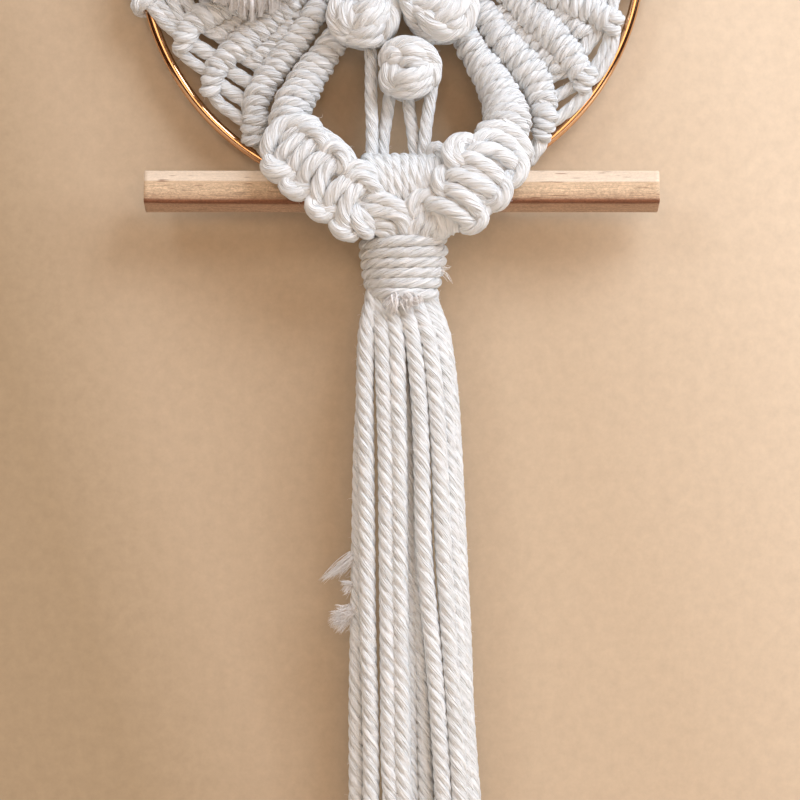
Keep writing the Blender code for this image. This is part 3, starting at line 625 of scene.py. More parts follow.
def ribCoil(points, wrap, mirror=1, seen=True):
    # Turns of cord on a core of plain cotton that closes the gaps between them
    axis = throughPoints(fromPicture(points) if seen else fromRing(points), step=wrapCore["step"])
    turns = max(2, round(runLength(axis)[-1] / wrap["spacing"]))
    halfWidth = axis[:, 3] - wrap["radius"] * wrap["squash"][0]
    halfDepth = halfWidth * wrapCore["squash"][0]
    line, outward = coilAround(axis, turns, halfDepth, halfWidth, wrap["tilt"], wrap["wobble"],
                               start=math.pi, hand=mirror)
    places = np.linspace(0, 3 * turns, len(line))
    uneven = np.interp(places, np.arange(3 * turns + 1), rng.normal(0, wrap["uneven"], 3 * turns + 1))
    thick = wrap["radius"] * (1 + uneven)
    coil = cordAlong(line, outward, thick, wrap["squash"], wrap["sides"], wrap["groove"], wrap["pitch"])
    inner = slice(2, -2, 2)  # the core stops short of both ends
    core = cordAlong(axis[inner], radius=halfWidth[inner] + wrapCore["over"], squash=wrapCore["squash"],
                     sides=wrapCore["sides"], groove=0.0)
    return [coil, core]


def plainCord(depth, radius, run):
    return cordAlong(throughPoints(fromPicture([(u, v, depth) for u, v in run])), radius=radius)


def fan(name, mirror, ribs, upperRibs, knots, under, links):
    grids = []
    wound = [(ribs, ribWrap, True), (upperRibs, ribWrap, False), (knots + under, smallWrap, True)]
    for rows, wrap, seen in wound:
        for points in rows:
            grids += ribCoil(points, wrap, mirror, seen)
    cottonPiece(name, grids + [plainCord(*given) for given in links])


fan("leftFan", 1, leftRibs, leftUpperRibs, leftKnots, leftUnder, leftLinks)
fan("rightFan", -1, rightRibs, rightUpperRibs, rightKnots, rightUnder, rightLinks)

# How strands lie on a body: the ends tuck in and the points next to them by a share of that
laying = {"tuck": 3.2, "nextShare": 0.32, "blend": 2.0, "least": 0.02, "cuts": 40}


def onBody(points, body, lift, back):
    # Lays points seen at u, v on a rounded body: the depth is the body's own, blended over its places with
    # weight exp((nearest distance - distance) / blend), and comes forward by
    # bulge * sqrt(1 - (distance / half)^2). For the back the line is mirrored in the body's spine.
    spine = throughPoints(fromRing(body["spine"]), count=laying["cuts"])
    run = np.array([(u, v, spine[:, 1].mean()) for u, v in points])
    for _ in range(2):
        places = fromPicture(run)
        apart = np.linalg.norm(places[:, None, [0, 2]] - spine[None][:, :, [0, 2]], axis=2)
        weight = np.exp((apart.min(axis=1, keepdims=True) - apart) / laying["blend"])
        middle = weight @ spine[:, 1] / weight.sum(axis=1)
        share = np.clip(1 - (apart.min(axis=1) / body["half"]) ** 2, laying["least"], 1)
        forward = body["bulge"] * np.sqrt(share) + lift
        forward[[0, -1]] -= laying["tuck"]
        forward[[1, -2]] -= laying["nextShare"] * laying["tuck"]
        run[:, 2] = middle - forward
    line = throughPoints(fromPicture(run))
    if back:
        nearest = np.linalg.norm(line[:, None, [0, 2]] - spine[None][:, :, [0, 2]], axis=2).argmin(axis=1)
        line[:, 1] = 2 * spine[nearest, 1] - line[:, 1]
    return line


# A body's strands: lift, radius, and the run that is seen; spines are from the ring's centre
leftClaw = {
    "spine": [(-31, -11.0, -56), (-29.2, -15.8, -61.5), (-25, -19, -66.5), (-19, -20.2, -72),
              (-13.8, -20, -76.8), (-8.6, -18.6, -81.6), (-3.8, -16, -86.6)],
    "half": 11.4, "bulge": 3.4, "core": (7.8, 2.5),
    "strands": [
        (0.2, 2.5, [(318, 128), (312, 124), (300, 122), (285, 124), (275, 131), (269, 142), (268, 152),
                    (273, 160)]),
        (0.0, 2.1, [(314, 132), (308, 130), (296, 132), (286, 138), (280, 148)]),
        (0.6, 2.4, [(312, 134), (305, 138), (295, 143), (286, 150), (281, 158), (285, 168)]),
        (0.6, 2.4, [(324, 142), (315, 145), (306, 150), (298, 159), (293, 170), (294, 183)]),
        (0.7, 2.45, [(336, 151), (328, 156), (318, 160), (309, 168), (304, 178), (304, 191)]),
        (0.6, 2.4, [(347, 159), (338, 163), (329, 168), (322, 177), (318, 189), (317, 201), (321, 212)]),
        (0.7, 2.45, [(361, 174), (353, 178), (343, 183), (335, 191), (329, 201), (327, 213)]),
        (0.7, 2.4, [(368, 181), (360, 186), (352, 193), (346, 203), (343, 214), (345, 225), (352, 234)]),
        (-1.4, 2.1, [(303, 140), (293, 149), (288, 160), (290, 172), (298, 184)]),
        (-1.4, 2.1, [(328, 150), (316, 158), (308, 168), (304, 180), (310, 194)]),
        (-1.4, 2.1, [(342, 167), (330, 178), (324, 190), (322, 202), (328, 212)]),
        (-1.4, 2.1, [(354, 183), (344, 194), (338, 206), (337, 218), (344, 230)]),
        (0.7, 2.1, [(357, 206), (355, 213), (357, 221), (361, 228), (366, 232), (372, 235)]),
        (0.4, 2.0, [(361, 208), (364, 215), (369, 223), (375, 233)]),
        (2.0, 2.2, [(298, 131), (306, 130), (315, 133), (322, 139), (324, 147), (319, 153)]),
        (0.6, 2.1, [(318, 131), (325, 136), (334, 142), (343, 150), (350, 159), (352, 168)]),
        (2.2, 2.2, [(322, 155), (326, 150), (333, 147), (340, 151), (344, 159), (343, 168), (338, 173)]),
        (2.0, 2.1, [(342, 176), (347, 171), (354, 166), (362, 167), (369, 172), (376, 181)]),
        (2.0, 2.1, [(343, 181), (349, 177), (357, 174), (366, 178), (374, 186), (381, 196)]),
        (1.0, 3.3, [(272, 159), (271, 166), (276, 171), (286, 174), (297, 174)]),
        (1.2, 2.4, [(295, 180), (288, 180), (286, 186), (292, 191), (301, 193), (311, 190)]),
        (1.2, 2.4, [(320, 201), (313, 201), (312, 207), (318, 213), (326, 215), (335, 211)]),
        (0.9, 2.3, [(338, 219), (335, 223), (339, 230), (348, 234), (358, 234)]),
        (0.2, 2.6, [(285, 186), (296, 187), (306, 189), (316, 193)]),
        (0.2, 2.6, [(311, 207), (322, 208), (332, 210), (342, 214)]),
        (-2.4, 2.2, [(287, 170), (299, 184), (313, 198), (329, 211), (348, 225)]),
    ],
}
rightClaw = {
    "spine": [(34, -11.5, -58), (32.6, -16.2, -63), (28.4, -19.6, -68), (23.6, -20.4, -73.6),
              (18.6, -20, -78.6), (13.4, -18.4, -83), (9, -15.6, -87)],
    "half": 11.6, "bulge": 3.4, "core": (7.8, 2.6),
    "strands": [
        (0.3, 2.4, [(470, 149), (476, 142), (483, 137), (494, 136), (507, 142), (516, 151), (517, 161)]),
        (0.0, 2.3, [(478, 133), (487, 128), (500, 128), (514, 134), (524, 145), (528, 157)]),
        (0.9, 2.4, [(466, 156), (474, 151), (483, 149), (495, 151), (507, 158), (514, 166), (512, 173)]),
        (1.0, 2.45, [(459, 162), (465, 158), (476, 161), (488, 168), (497, 176), (500, 184)]),
        (0.2, 2.2, [(456, 168), (464, 168), (476, 173), (488, 181), (496, 189)]),
        (1.0, 2.45, [(447, 176), (454, 175), (466, 178), (479, 184), (491, 191), (496, 198)]),
        (-0.6, 2.2, [(450, 183), (462, 187), (474, 193), (485, 202), (491, 209)]),
        (1.0, 2.45, [(444, 187), (452, 189), (463, 195), (472, 203), (478, 211), (479, 219)]),
        (-0.6, 2.2, [(440, 196), (450, 200), (461, 207), (470, 215), (478, 223)]),
        (1.0, 2.45, [(427, 203), (435, 204), (446, 207), (457, 213), (467, 220), (474, 226)]),
        (0.8, 2.2, [(462, 168), (455, 166), (450, 158), (449, 149), (454, 142), (463, 139), (470, 141),
                    (474, 149)]),
        (0.2, 2.4, [(470, 146), (463, 145), (458, 150), (459, 158), (465, 164), (471, 168)]),
        (0.7, 2.2, [(447, 168), (440, 173), (438, 182), (441, 190), (448, 197)]),
        (1.7, 2.2, [(512, 154), (520, 157), (523, 166), (520, 175), (513, 181), (503, 181)]),
        (1.6, 2.0, [(498, 177), (505, 182), (507, 190), (504, 199), (497, 205), (488, 205)]),
        (1.5, 1.7, [(491, 188), (497, 192), (498, 199), (492, 203), (484, 201)]),
        (0.9, 2.0, [(476, 207), (482, 212), (483, 219), (478, 225), (469, 228), (460, 226)]),
        (-3.0, 2.1, [(512, 172), (505, 185), (497, 198), (486, 210), (474, 220)]),
    ],
}
crossing = {
    "spine": [(4, -16.8, -74), (3.8, -16.6, -80), (3.6, -15.8, -88)],
    "half": 16.0, "bulge": 3.2, "core": (9.5, 1.8),
    "strands": [
        (1.6, 2.4, [(354, 203), (361, 198), (371, 196), (383, 199), (395, 205), (405, 212), (408, 222)]),
        (1.7, 2.3, [(356, 203), (362, 206), (372, 209), (384, 211), (396, 214), (403, 222), (402, 236)]),
        (0.7, 2.1, [(364, 216), (372, 220), (383, 223), (392, 228), (395, 238)]),
        (0.5, 2.0, [(368, 226), (376, 229), (385, 233), (390, 240)]),
        (1.4, 2.3, [(410, 222), (409, 213), (411, 204), (418, 197), (428, 194), (438, 196), (446, 203)]),
        (1.0, 2.2, [(423, 199), (420, 206), (415, 214), (409, 222)]),
        (0.6, 2.1, [(431, 206), (426, 213), (419, 222), (412, 231), (408, 239)]),
        (0.6, 2.1, [(439, 210), (435, 217), (430, 225), (424, 232), (419, 239)]),
        (0.5, 2.0, [(449, 214), (449, 221), (446, 229), (441, 238)]),
        (0.4, 2.0, [(444, 212), (441, 221), (436, 229), (430, 238)]),
        (0.4, 2.0, [(449, 191), (446, 197), (442, 204), (436, 209)]),
        (-0.6, 2.1, [(434, 158), (437, 172), (440, 182), (446, 192), (449, 200)]),
        (-0.6, 2.1, [(409, 214), (410, 222), (412, 230), (414, 238)]),
        (-0.4, 2.1, [(414, 202), (420, 208), (426, 214), (432, 222), (436, 232)]),
        (-0.8, 2.1, [(396, 214), (399, 222), (401, 230), (402, 238)]),
    ],
}
berries = [
    {"spine": [(-8.4, -11, -18), (-8.4, -11, -20), (-8.4, -11, -22)],
     "half": 9.9, "bulge": 5.8, "stout": 1.08, "core": (7.5, 4.8), "swell": 7.2,
     "strands": [
         (0.1, 2.4, [(345, -4), (337, 5), (334, 16), (337, 27), (344, 35), (353, 38)]),
         (0.6, 2.3, [(353, 2), (346, 9), (343, 18), (345, 27), (351, 34)]),
         (0.8, 2.1, [(358, 7), (352, 14), (350, 23), (353, 32)]),
         (1.0, 2.4, [(350, 26), (360, 21), (370, 15), (380, 10), (389, 3)]),
         (0.7, 2.2, [(349, 14), (358, 10), (369, 6), (379, 0), (384, -7)]),
         (0.9, 2.2, [(364, 33), (371, 25), (380, 18), (389, 10)]),
         (0.2, 2.3, [(385, -3), (391, 5), (393, 14), (391, 24), (386, 32), (379, 37)]),
         (0.9, 2.1, [(350, 31), (359, 33), (369, 31), (377, 27), (385, 19)]),
         (0.2, 2.3, [(343, 32), (352, 38), (365, 40), (377, 39), (389, 33)]),
         (0.2, 2.3, [(339, -5), (351, -11), (366, -13), (381, -7)]),
     ]},
    {"spine": [(15.3, -11, -17.4), (15.3, -11, -19.4), (15.3, -11, -21.4)],
     "half": 10.2, "bulge": 5.8, "stout": 1.08, "core": (7.6, 4.8), "swell": 7.2,
     "strands": [
         (0.3, 2.3, [(408, 2), (414, 7), (422, 13), (427, 23), (433, 31), (437, 36)]),
         (0.8, 2.3, [(425, 5), (427, 13), (431, 21), (438, 27), (448, 31), (456, 31)]),
         (0.8, 2.4, [(430, 24), (436, 20), (446, 15), (456, 10), (463, 2), (467, -6)]),
         (0.7, 2.3, [(432, 15), (441, 10), (450, 4), (458, -4)]),
         (0.4, 2.2, [(437, 25), (446, 24), (455, 24), (463, 20), (470, 13)]),
         (0.1, 2.2, [(426, 30), (435, 34), (446, 34), (457, 31), (465, 25), (471, 18)]),
         (0.4, 2.2, [(406, 3), (415, 2), (426, 5), (436, 3), (445, -1), (451, -8)]),
         (0.2, 2.3, [(461, -10), (468, -2), (472, 6), (470, 16), (465, 25), (458, 31)]),
         (0.2, 2.3, [(423, -8), (436, -13), (449, -13), (460, -8)]),
         (-4.6, 2.2, [(403, -6), (405, 1), (409, 12), (415, 24), (426, 35), (434, 42)]),
     ]},
    {"spine": [(5.4, -11.5, -35), (5.4, -11.5, -37), (5.4, -11.5, -39)],
     "half": 9.0, "bulge": 5.8, "stout": 1.04, "core": (6.6, 4.6), "swell": 6.4,
     "strands": [
         (0.1, 2.3, [(385, 64), (387, 53), (396, 45), (408, 43), (420, 46), (429, 53), (434, 62),
                     (434, 74)]),
         (0.7, 2.3, [(395, 53), (403, 50), (413, 51), (423, 56), (432, 64)]),
         (0.6, 2.2, [(405, 61), (399, 54), (392, 52), (386, 58), (385, 68)]),
         (0.7, 2.1, [(397, 67), (404, 62), (412, 61), (421, 64), (430, 69)]),
         (1.4, 2.4, [(390, 79), (399, 77), (410, 76), (421, 73), (433, 67)]),
         (0.8, 2.3, [(394, 62), (388, 70), (386, 79), (389, 87), (397, 91)]),
         (1.2, 2.2, [(401, 65), (395, 72), (392, 81), (397, 89)]),
         (0.2, 2.3, [(387, 55), (393, 59), (400, 59), (407, 56)]),
         (0.4, 2.2, [(430, 58), (434, 67), (434, 77), (429, 86)]),
         (0.9, 2.2, [(392, 84), (402, 85), (412, 85), (422, 82), (432, 76)]),
         (0.2, 2.3, [(388, 84), (397, 90), (409, 92), (420, 89), (431, 82)]),
     ]},
]
# The cord of these strands is a little stouter than the radius above, and has fewer sides behind
knotting = {"stout": 1.03, "sides": (24, 16), "cord": {"groove": 0.15, "pitch": 17.0}, "coreCuts": 24,
            "coreTaper": 0.6}


def knotBody(name, body):
    # Strands on the front, the same strands on the back, and a plain core that narrows towards its ends
    cuts = knotting["coreCuts"]
    spine = throughPoints(fromRing(body["spine"]), count=cuts)
    width = 1 - knotting["coreTaper"] * np.abs(np.linspace(-1, 1, cuts)) ** 4
    if "swell" in body:
        # a ball: the spine is drawn out to the ball's height and the sections follow a circle
        t = np.sin(np.linspace(-math.pi / 2, math.pi / 2, cuts + 1))
        middle = spine.mean(axis=0)
        spine = np.column_stack([0 * t + middle[0], 0 * t + middle[1], middle[2] - t * body["swell"]])
        width = np.sqrt(1.001 - t**2)
    wide, deep = body["core"]
    grids = [cordAlong(spine, radius=width, squash=(deep, wide), groove=0.0)]
    for back, outward, sides in zip((False, True), (frontWay, backWay), knotting["sides"]):
        for lift, radius, points in body["strands"]:
            radius *= body.get("stout", knotting["stout"])
            line = onBody(points, body, lift, back)
            grids.append(cordAlong(line, outward, radius, sides=sides, **knotting["cord"]))
    cottonPiece(name, grids)


knotBody("leftClaw", leftClaw)
knotBody("rightClaw", rightClaw)
knotBody("crossing", crossing)
for number, berry in enumerate(berries):
    knotBody(f"berry_{number}", berry)

# Hitches round the bar and ring: where each turn is at the top of the bar and at its foot, as first and
# step, and the cord that humps up beside them
hitches = {"turns": 9, "top": (367, 9.2), "foot": (384, 5.6), "middle": (-7.0, 184.5), "half": (13.3, 7.0),
           "square": 0.7, "cuts": 34, "cord": {"radius": 2.45, "squash": (0.95, 0.86), "pitch": 18.0},
           "bump": [(428, 162, -9), (431, 152, -12.5), (436, 147, -13.5), (441, 152, -14), (444, 164, -15),
                    (443, 176, -17)]}


def barHitches():
    # One cord wound round and round: at angle a, y = -deep |cos a|^square and z = high |sin a|^square,
    # with their signs, and x goes from the top's place to the foot's in front and on to the next behind
    stops = np.arange(2 * hitches["turns"])
    (topFirst, topStep), (footFirst, footStep) = hitches["top"], hitches["foot"]
    x = np.where(stops % 2 == 0, topFirst + topStep * (stops // 2), footFirst + footStep * (stops // 2))
    a = math.pi / 2 - np.linspace(0, stops[-1] * math.pi, hitches["cuts"] * stops[-1])
    smooth = (1 - np.cos(math.pi * ((math.pi / 2 - a) / math.pi % 1))) / 2
    u = np.interp(np.floor((math.pi / 2 - a) / math.pi) + smooth, stops, x)
    depth, middleV = hitches["middle"]
    deep, high = hitches["half"]
    y = depth - deep * np.sign(np.cos(a)) * np.abs(np.cos(a)) ** hitches["square"]
    middleZ = fromPicture([(picture["middle"], middleV, depth)])[0, 2]
    z = middleZ + high * np.sign(np.sin(a)) * np.abs(np.sin(a)) ** hitches["square"]
    seen = fromPicture(np.column_stack([u, u * 0 + middleV, y]))
    line = throughPoints(np.column_stack([seen[:, 0], y, z]))
    outward = line - np.column_stack([line[:, 0], 0 * line[:, 0] + depth, 0 * line[:, 0] + z.mean()])
    bump = throughPoints(fromPicture(hitches["bump"]))
    cottonPiece("barHitches", [cordAlong(line, outward, **hitches["cord"]), cordAlong(bump)])


# The four cords that hang between the berries and the bar
dropRadius = 1.95
dropCords = [
    [(366, 30, -8), (369, 44, -9), (371, 60, -9.5), (371, 100, -10), (372, 120, -10.5),
     (372, 140, -11.5), (372, 162, -12)],
    [(391, 86, -9), (389, 100, -8.5), (387, 115, -8), (384, 135, -8.5), (382, 162, -9)],
    [(407, 86, -9), (408, 98, -8.5), (410, 115, -8), (413, 135, -8.5), (416, 162, -9)],
    [(431, 74, -9), (432, 86, -9.5), (430, 100, -10), (427, 120, -10.5), (425, 140, -11),
     (424, 162, -11)],
]


barHitches()
cottonPiece("dropCords", [cordAlong(throughPoints(fromPicture(run)), radius=dropRadius)
                          for run in dropCords])

# The binding's turns, the bundle in it and the cords that run down behind the bar into it
binding = {"axis": [(3.8, -9, -87.9), (2.9, -9, -106.0)],
           "coil": {"turns": 6, "deep": (11.4, 9.8, 8.5, 7.8), "wide": (11.8, 11.3, 10.1, 9.0),
                    "rise": (0.9, 0.5, 0.3, 0.2, -0.1, -0.6), "wobble": 0.07, "perTurn": 72,
                    "start": math.pi},
           "cord": {"radius": 2.25, "squash": (0.86, 0.84), "sides": 32, "groove": 0.2, "pitch": 17.0},
           "bundle": [(3.8, -9, -80, 5.0), (3.6, -9, -86, 8.0), (3.5, -9, -92, 10.2), (3.2, -9, -98, 9.2),
                      (3.0, -9, -104, 8.2)],
           "bundleCord": {"squash": (0.72, 1.0), "sides": 36, "groove": 0.0},
           "behind": {"count": 7, "firstX": -6.5, "stepX": 3.4,
                      "run": [(1.0, 1.5, -74), (1.0, 1.0, -79), (0.95, -1.5, -84), (0.9, -3.5, -90)]}}


def bindingPiece():
    line, outward = coilAround(throughPoints(fromRing(binding["axis"]), step=0.5), **binding["coil"])
    bundle = throughPoints(fromRing(binding["bundle"]), step=1.0)
    grids = [cordAlong(line, outward, **binding["cord"])]
    grids.append(cordAlong(bundle, radius=bundle[:, 3], **binding["bundleCord"]))
    behind = binding["behind"]
    for i in range(behind["count"]):
        x = behind["firstX"] + behind["stepX"] * i
        run = [(x * share, y, z) for share, y, z in behind["run"]]
        grids.append(cordAlong(throughPoints(fromRing(run)), backWay))
    cottonPiece("binding", grids)


bindingPiece()

# The tassel: places across the picture at each height, and the depth
tasselHeights = (286, 300, 320, 340, 390, 450, 550, 640, 700, 760, 800, 850, 892)
tasselStrands = [
    (-14.4, (375, 374, 369.5, 367, 365.5, 366, 367, 368, 370, 371, 371, 371, 371)),
    (-15.2, (382, 380, 381, 382.5, 384, 386, 387, 388, 388.5, 389, 391, 391, 392)),
    (-15.5, (390, 389, 394, 397, 398, 399, 399.5, 400.5, 402, 402.5, 404, 405, 406)),
    (-15.6, (403, 404, 409, 413, 418.5, 421.5, 424, 432, 437, 441, 443, 445, 448)),
    (-15.0, (413, 414, 422, 428.5, 435, 439, 443.5, 449, 453.5, 457.5, 460, 463, 464)),
    (-11.6, (422, 423, 432, 439, 446, 449, 453, 457.5, 461.5, 464.5, 467, 470, 471)),
    (-9.0, (429, 430, 437, 443, 449.5, 453.5, 458.5, 463, 465, 469, 472.5, 476, 479)),
    (-10.8, (374, 373, 369, 367.5, 365, 361.5, 359.5, 358, 357, 357, 357, 355, 354)),
    (-11.5, (395, 396, 399, 401, 403, 406, 407, 409, 409, 409, 410, 411, 412)),
    (-11.0, (405, 406, 411, 414, 417, 418, 417, 420.5, 423, 425, 426, 428, 430)),
]
# The tassel's cord. At the neck the cords draw in towards one depth, each by its share. Their ends are cut
# unevenly, and the cords behind drift a little to either side.
tassel = {"radius": 2.6, "neckDepth": -9, "neckShares": (0.5, 0.62, 0.9), "cut": (-7, 6), "step": 1.15,
          "behind": {"depths": (-10.6, -5.4), "count": 7, "drift": 1.5, "step": 1.7, "sides": 16}}


def tasselCord(depth, places, step, sides):
    low = tasselHeights[-1] + rng.uniform(*tassel["cut"])
    rows = [(u, v, depth) for u, v in zip(places, tasselHeights[:-1] + (low,))]
    for k, pull in enumerate(tassel["neckShares"]):
        rows[k] = (rows[k][0], rows[k][1], tassel["neckDepth"] + (depth - tassel["neckDepth"]) * pull)
    return cordAlong(throughPoints(fromPicture(rows), step=step), radius=tassel["radius"], sides=sides)


def tasselPieces():
    # The cords behind hang in the shade of the first seven, so that the gaps between these stay open
    front = [tasselCord(depth, places, tassel["step"], cord["sides"]) for depth, places in tasselStrands]
    behind = tassel["behind"]
    back = []
    for depth in behind["depths"]:
        for _, places in tasselStrands[:behind["count"]]:
            drift = rng.uniform(-1, 1) * behind["drift"]
            back.append(tasselCord(depth, [u + drift for u in places], behind["step"], behind["sides"]))
    cottonPiece("tasselFront", front, ("tassel",))
    cottonPiece("tasselBack", back, ("tassel",))


tasselPieces()

# The row of knots on the ring's top, with a bar across each pair of turns, and the ties at the ring's sides
row = {"first": 2.6, "last": 44.0, "count": 12, "cuts": 120, "reach": 3.4, "squash": (0.95, 1.0),
       "bar": {"turns": (-0.1, 0.5, 1.5, 2.1), "inward": (1.0, 2.6, 2.6, 1.0),
               "depth": (-3.8, -6.4, -6.4, -3.8)}}
ties = {"spans": [(-106.5, -93.5), (87.5, 100.5)], "turns": 4, "reach": 3.3, "radius": 2.0, "cuts": 60}


def upperCord(line, outward=frontWay, radius=None, squash=(1.0, 1.0)):
    # The cords above the picture's top edge have fewer sides
    return cordAlong(line, outward, radius, squash, cord["upperSides"])


def ringPlace(angle, radius, depth):
    a = np.radians(angle)
    x, z = radius * np.sin(a), radius * np.cos(a) - ring["drop"]
    return np.column_stack([x, np.broadcast_to(depth, np.shape(a)), z])


def knotRow():
    grids = []
    pitch = (row["last"] - row["first"]) / row["count"]
    turns, inward, depth = (np.array(row["bar"][key]) for key in ("turns", "inward", "depth"))
    for side in (-1, 1):
        angles = side * np.linspace(row["first"], row["last"], row["cuts"])
        axis = ringPlace(angles, ring["radius"], 0.0)
        line, outward = coilAround(axis, row["count"], row["reach"], row["reach"])
        grids.append(upperCord(line, outward, squash=row["squash"]))
        for i in range(0, row["count"], 2):
            run = ringPlace(side * (row["first"] + pitch * (i + turns)), ring["radius"] - inward, depth)
            grids.append(upperCord(throughPoints(run)))
    for start, end in ties["spans"]:
        axis = ringPlace(np.linspace(start, end, ties["cuts"]), ring["radius"], 0.0)
        line, outward = coilAround(axis, ties["turns"], ties["reach"], ties["reach"])
        grids.append(upperCord(line, outward, ties["radius"]))
    cottonPiece("knotRow", grids)


# The field between the fans: rows of square knots as their places across and their height, from the ring's
# centre, and the foot that the cords reach
field = {"knots": [((-9, 3, 15), 38), ((-3, 9), 22), ((-9, 3, 15), 6)], "depth": -2.5, "footZ": -12,
         "footX": (-13.5, -9, -4.5, 0.5, 5.5, 10.5, 15, 19.5), "apart": 1.6, "inward": 2.0, "step": 1.4,
         "rib": [(-15.5, -12, 3.6), (3, -13, 3.8), (21.5, -12, 3.6)]}
# A half knot's bar across the front and its loop behind: offsets across, in depth and in height
halfKnot = {"radius": 1.9, "drops": (2.4, -2.4), "backStep": 1.2, "backSides": 16,
            "front": [(-3.4, 0.6, 1.4), (-1.6, -2.9, 0.6), (1.6, -3.2, -0.2), (4.2, -0.6, -0.9),
                      (3.2, 2.4, -1.9)],
            "back": [(-3.6, 1.6, 0), (0, 3.0, -0.8), (3.6, 1.2, -1.4)]}


def rowAngle(index):
    return row["first"] + (row["last"] - row["first"]) * (index + 0.5) / row["count"]


def squareKnot(x, z, depth):
    # Two mirrored half knots round the filler cords, each at two heights
    grids = []
    radius = halfKnot["radius"]
    for side in (-1, 1):
        for drop in halfKnot["drops"]:
            front, back = (fromRing([(x + side * across, depth + deep, z + drop + up)
                                     for across, deep, up in halfKnot[way]]) for way in ("front", "back"))
            grids.append(upperCord(throughPoints(front), radius=radius))
            grids.append(cordAlong(throughPoints(back, step=halfKnot["backStep"]), backWay, radius,
                                   sides=halfKnot["backSides"]))
    return grids


def centreField():
    grids = []
    for i, footX in enumerate(field["footX"]):
        fromMiddle = i - (len(field["footX"]) - 1) / 2
        angle = math.copysign(rowAngle(math.floor(abs(fromMiddle))), fromMiddle)
        top = ringPlace([angle], ring["radius"] - field["inward"], field["depth"])[0] + (0, 0, ring["drop"])
        run = [tuple(top)]
        for knots, z in field["knots"]:
            nearest = min(knots, key=lambda x: abs(x - footX))
            run.append((nearest + math.copysign(field["apart"], footX - nearest), field["depth"], z))
        run.append((footX, field["depth"], field["footZ"]))
        grids.append(upperCord(throughPoints(fromRing(run), step=field["step"])))
    for knots, z in field["knots"]:
        for x in knots:
            grids += squareKnot(x, z, field["depth"])
    grids += ribCoil([(x, field["depth"], z, half) for x, z, half in field["rib"]], ribWrap, 1, False)
    cottonPiece("centreField", grids)


# Where the falling cords meet a fan's top rib and where the upper ribs are joined, in hundredths of a rib
falls = {"first": 4, "last": 96, "joins": (4, 14, 26, 40, 54, 70), "forward": 1.2, "joinRadius": 1.9}


def fallCords():
    # The cords from the knot row down to each fan's top rib, and the ones that join its upper ribs
    grids = []
    for side, ribs, lower in ((-1, leftUpperRibs, leftRibs[3]), (1, rightUpperRibs, rightRibs[3])):
        axes = [throughPoints(fromPicture(lower), count=101)]
        axes += [throughPoints(fromRing(points), count=101) for points in ribs]
        count = row["count"] - len(field["footX"]) // 2
        for i in range(count):
            angle = side * rowAngle(row["count"] - 1 - i)
            top = ringPlace([angle], ring["radius"] - field["inward"], field["depth"])[0]
            foot = axes[-1][int(falls["first"] + (falls["last"] - falls["first"]) * i / (count - 1)), :3]
            middle = (top + foot) / 2 + (0, -falls["forward"], 0)
            grids.append(upperCord(throughPoints([top, middle, foot], step=field["step"])))
        for upper, under in ((1, 0), (2, 1)):
            for at in falls["joins"]:
                line = throughPoints([axes[upper][at, :3], axes[under][at, :3]])
                grids.append(upperCord(line, radius=falls["joinRadius"]))
    cottonPiece("fallCords", grids)


knotRow()
centreField()
fallCords()

# A thread draws in by a share of its radius towards the tip, and anyWay only sets how its section is turned
thread = {"sides": 3, "drawIn": 0.7, "anyWay": (0.31, 0.52, 0.8)}


def hairBundle(roots, tips, bow, radius, rings=7, tone=(0.2, 1.0)):
    # Thin threads: point(t) = root + (tip - root) t + bow 4 t (1 - t), drawn to a fine end
    t = np.linspace(0, 1, rings)[None, :, None]
    line = roots[:, None] + (tips - roots)[:, None] * t + 4 * bow[:, None] * t * (1 - t)
    ahead = unit(np.gradient(line, axis=1))
    high = unit(np.cross(ahead, np.array(thread["anyWay"])))
    side = np.cross(ahead, high)
    turn = (2 * math.pi * np.arange(thread["sides"]) / thread["sides"])[:, None]
    reach = np.asarray(radius, float).reshape(-1, 1, 1, 1) * (1 - thread["drawIn"] * t[..., None] ** 2)
    points = line[:, :, None] + reach * (np.cos(turn) * high[:, :, None] + np.sin(turn) * side[:, :, None])
    along = np.linspace(0, 10, rings) * np.ones((len(roots), 1))
    return {"points": points, "along": along, "tone": rng.uniform(*tone, len(roots))}


# Brushed fringes from the ring's centre: the strip's two ends, depth, and the feet at even shares along it
fringes = {
    "leftFringe": {"node": "left_fringe", "ends": ((-55, 7.2), (-29, 6.6)), "depth": -8.6,
                   "feet": (-15.0, -17.8, -21.4, -18.6, -14.6), "clumps": 24, "count": 2600},
    "rightFringe": {"node": "right_fringe", "ends": ((32, 11.4), (57, 10.4)), "depth": -8.6,
                    "feet": (-12.0, -11.5, -11.0, -11.5, -12.0), "clumps": 22, "count": 1900},
}
# How the locks vary, in millimetres; the feet fan out along the strip and draw together in clumps
lock = {"depthVaries": 0.9, "clumpVaries": 0.9, "footVaries": 1.3, "footDrop": 0.8, "fanOut": 3.0,
        "stray": 0.45, "drawTogether": 0.55, "tipForward": 0.5, "bowVaries": 0.5, "bowForward": 0.7,
        "radius": (0.16, 0.32), "rings": 6}
# The wound strip that the locks hang from
strip = {"coil": {"turns": 11, "deep": 1.5, "wide": 1.5, "tilt": 0.2, "wobble": 0.1}, "radius": 1.5,
         "step": 0.7}


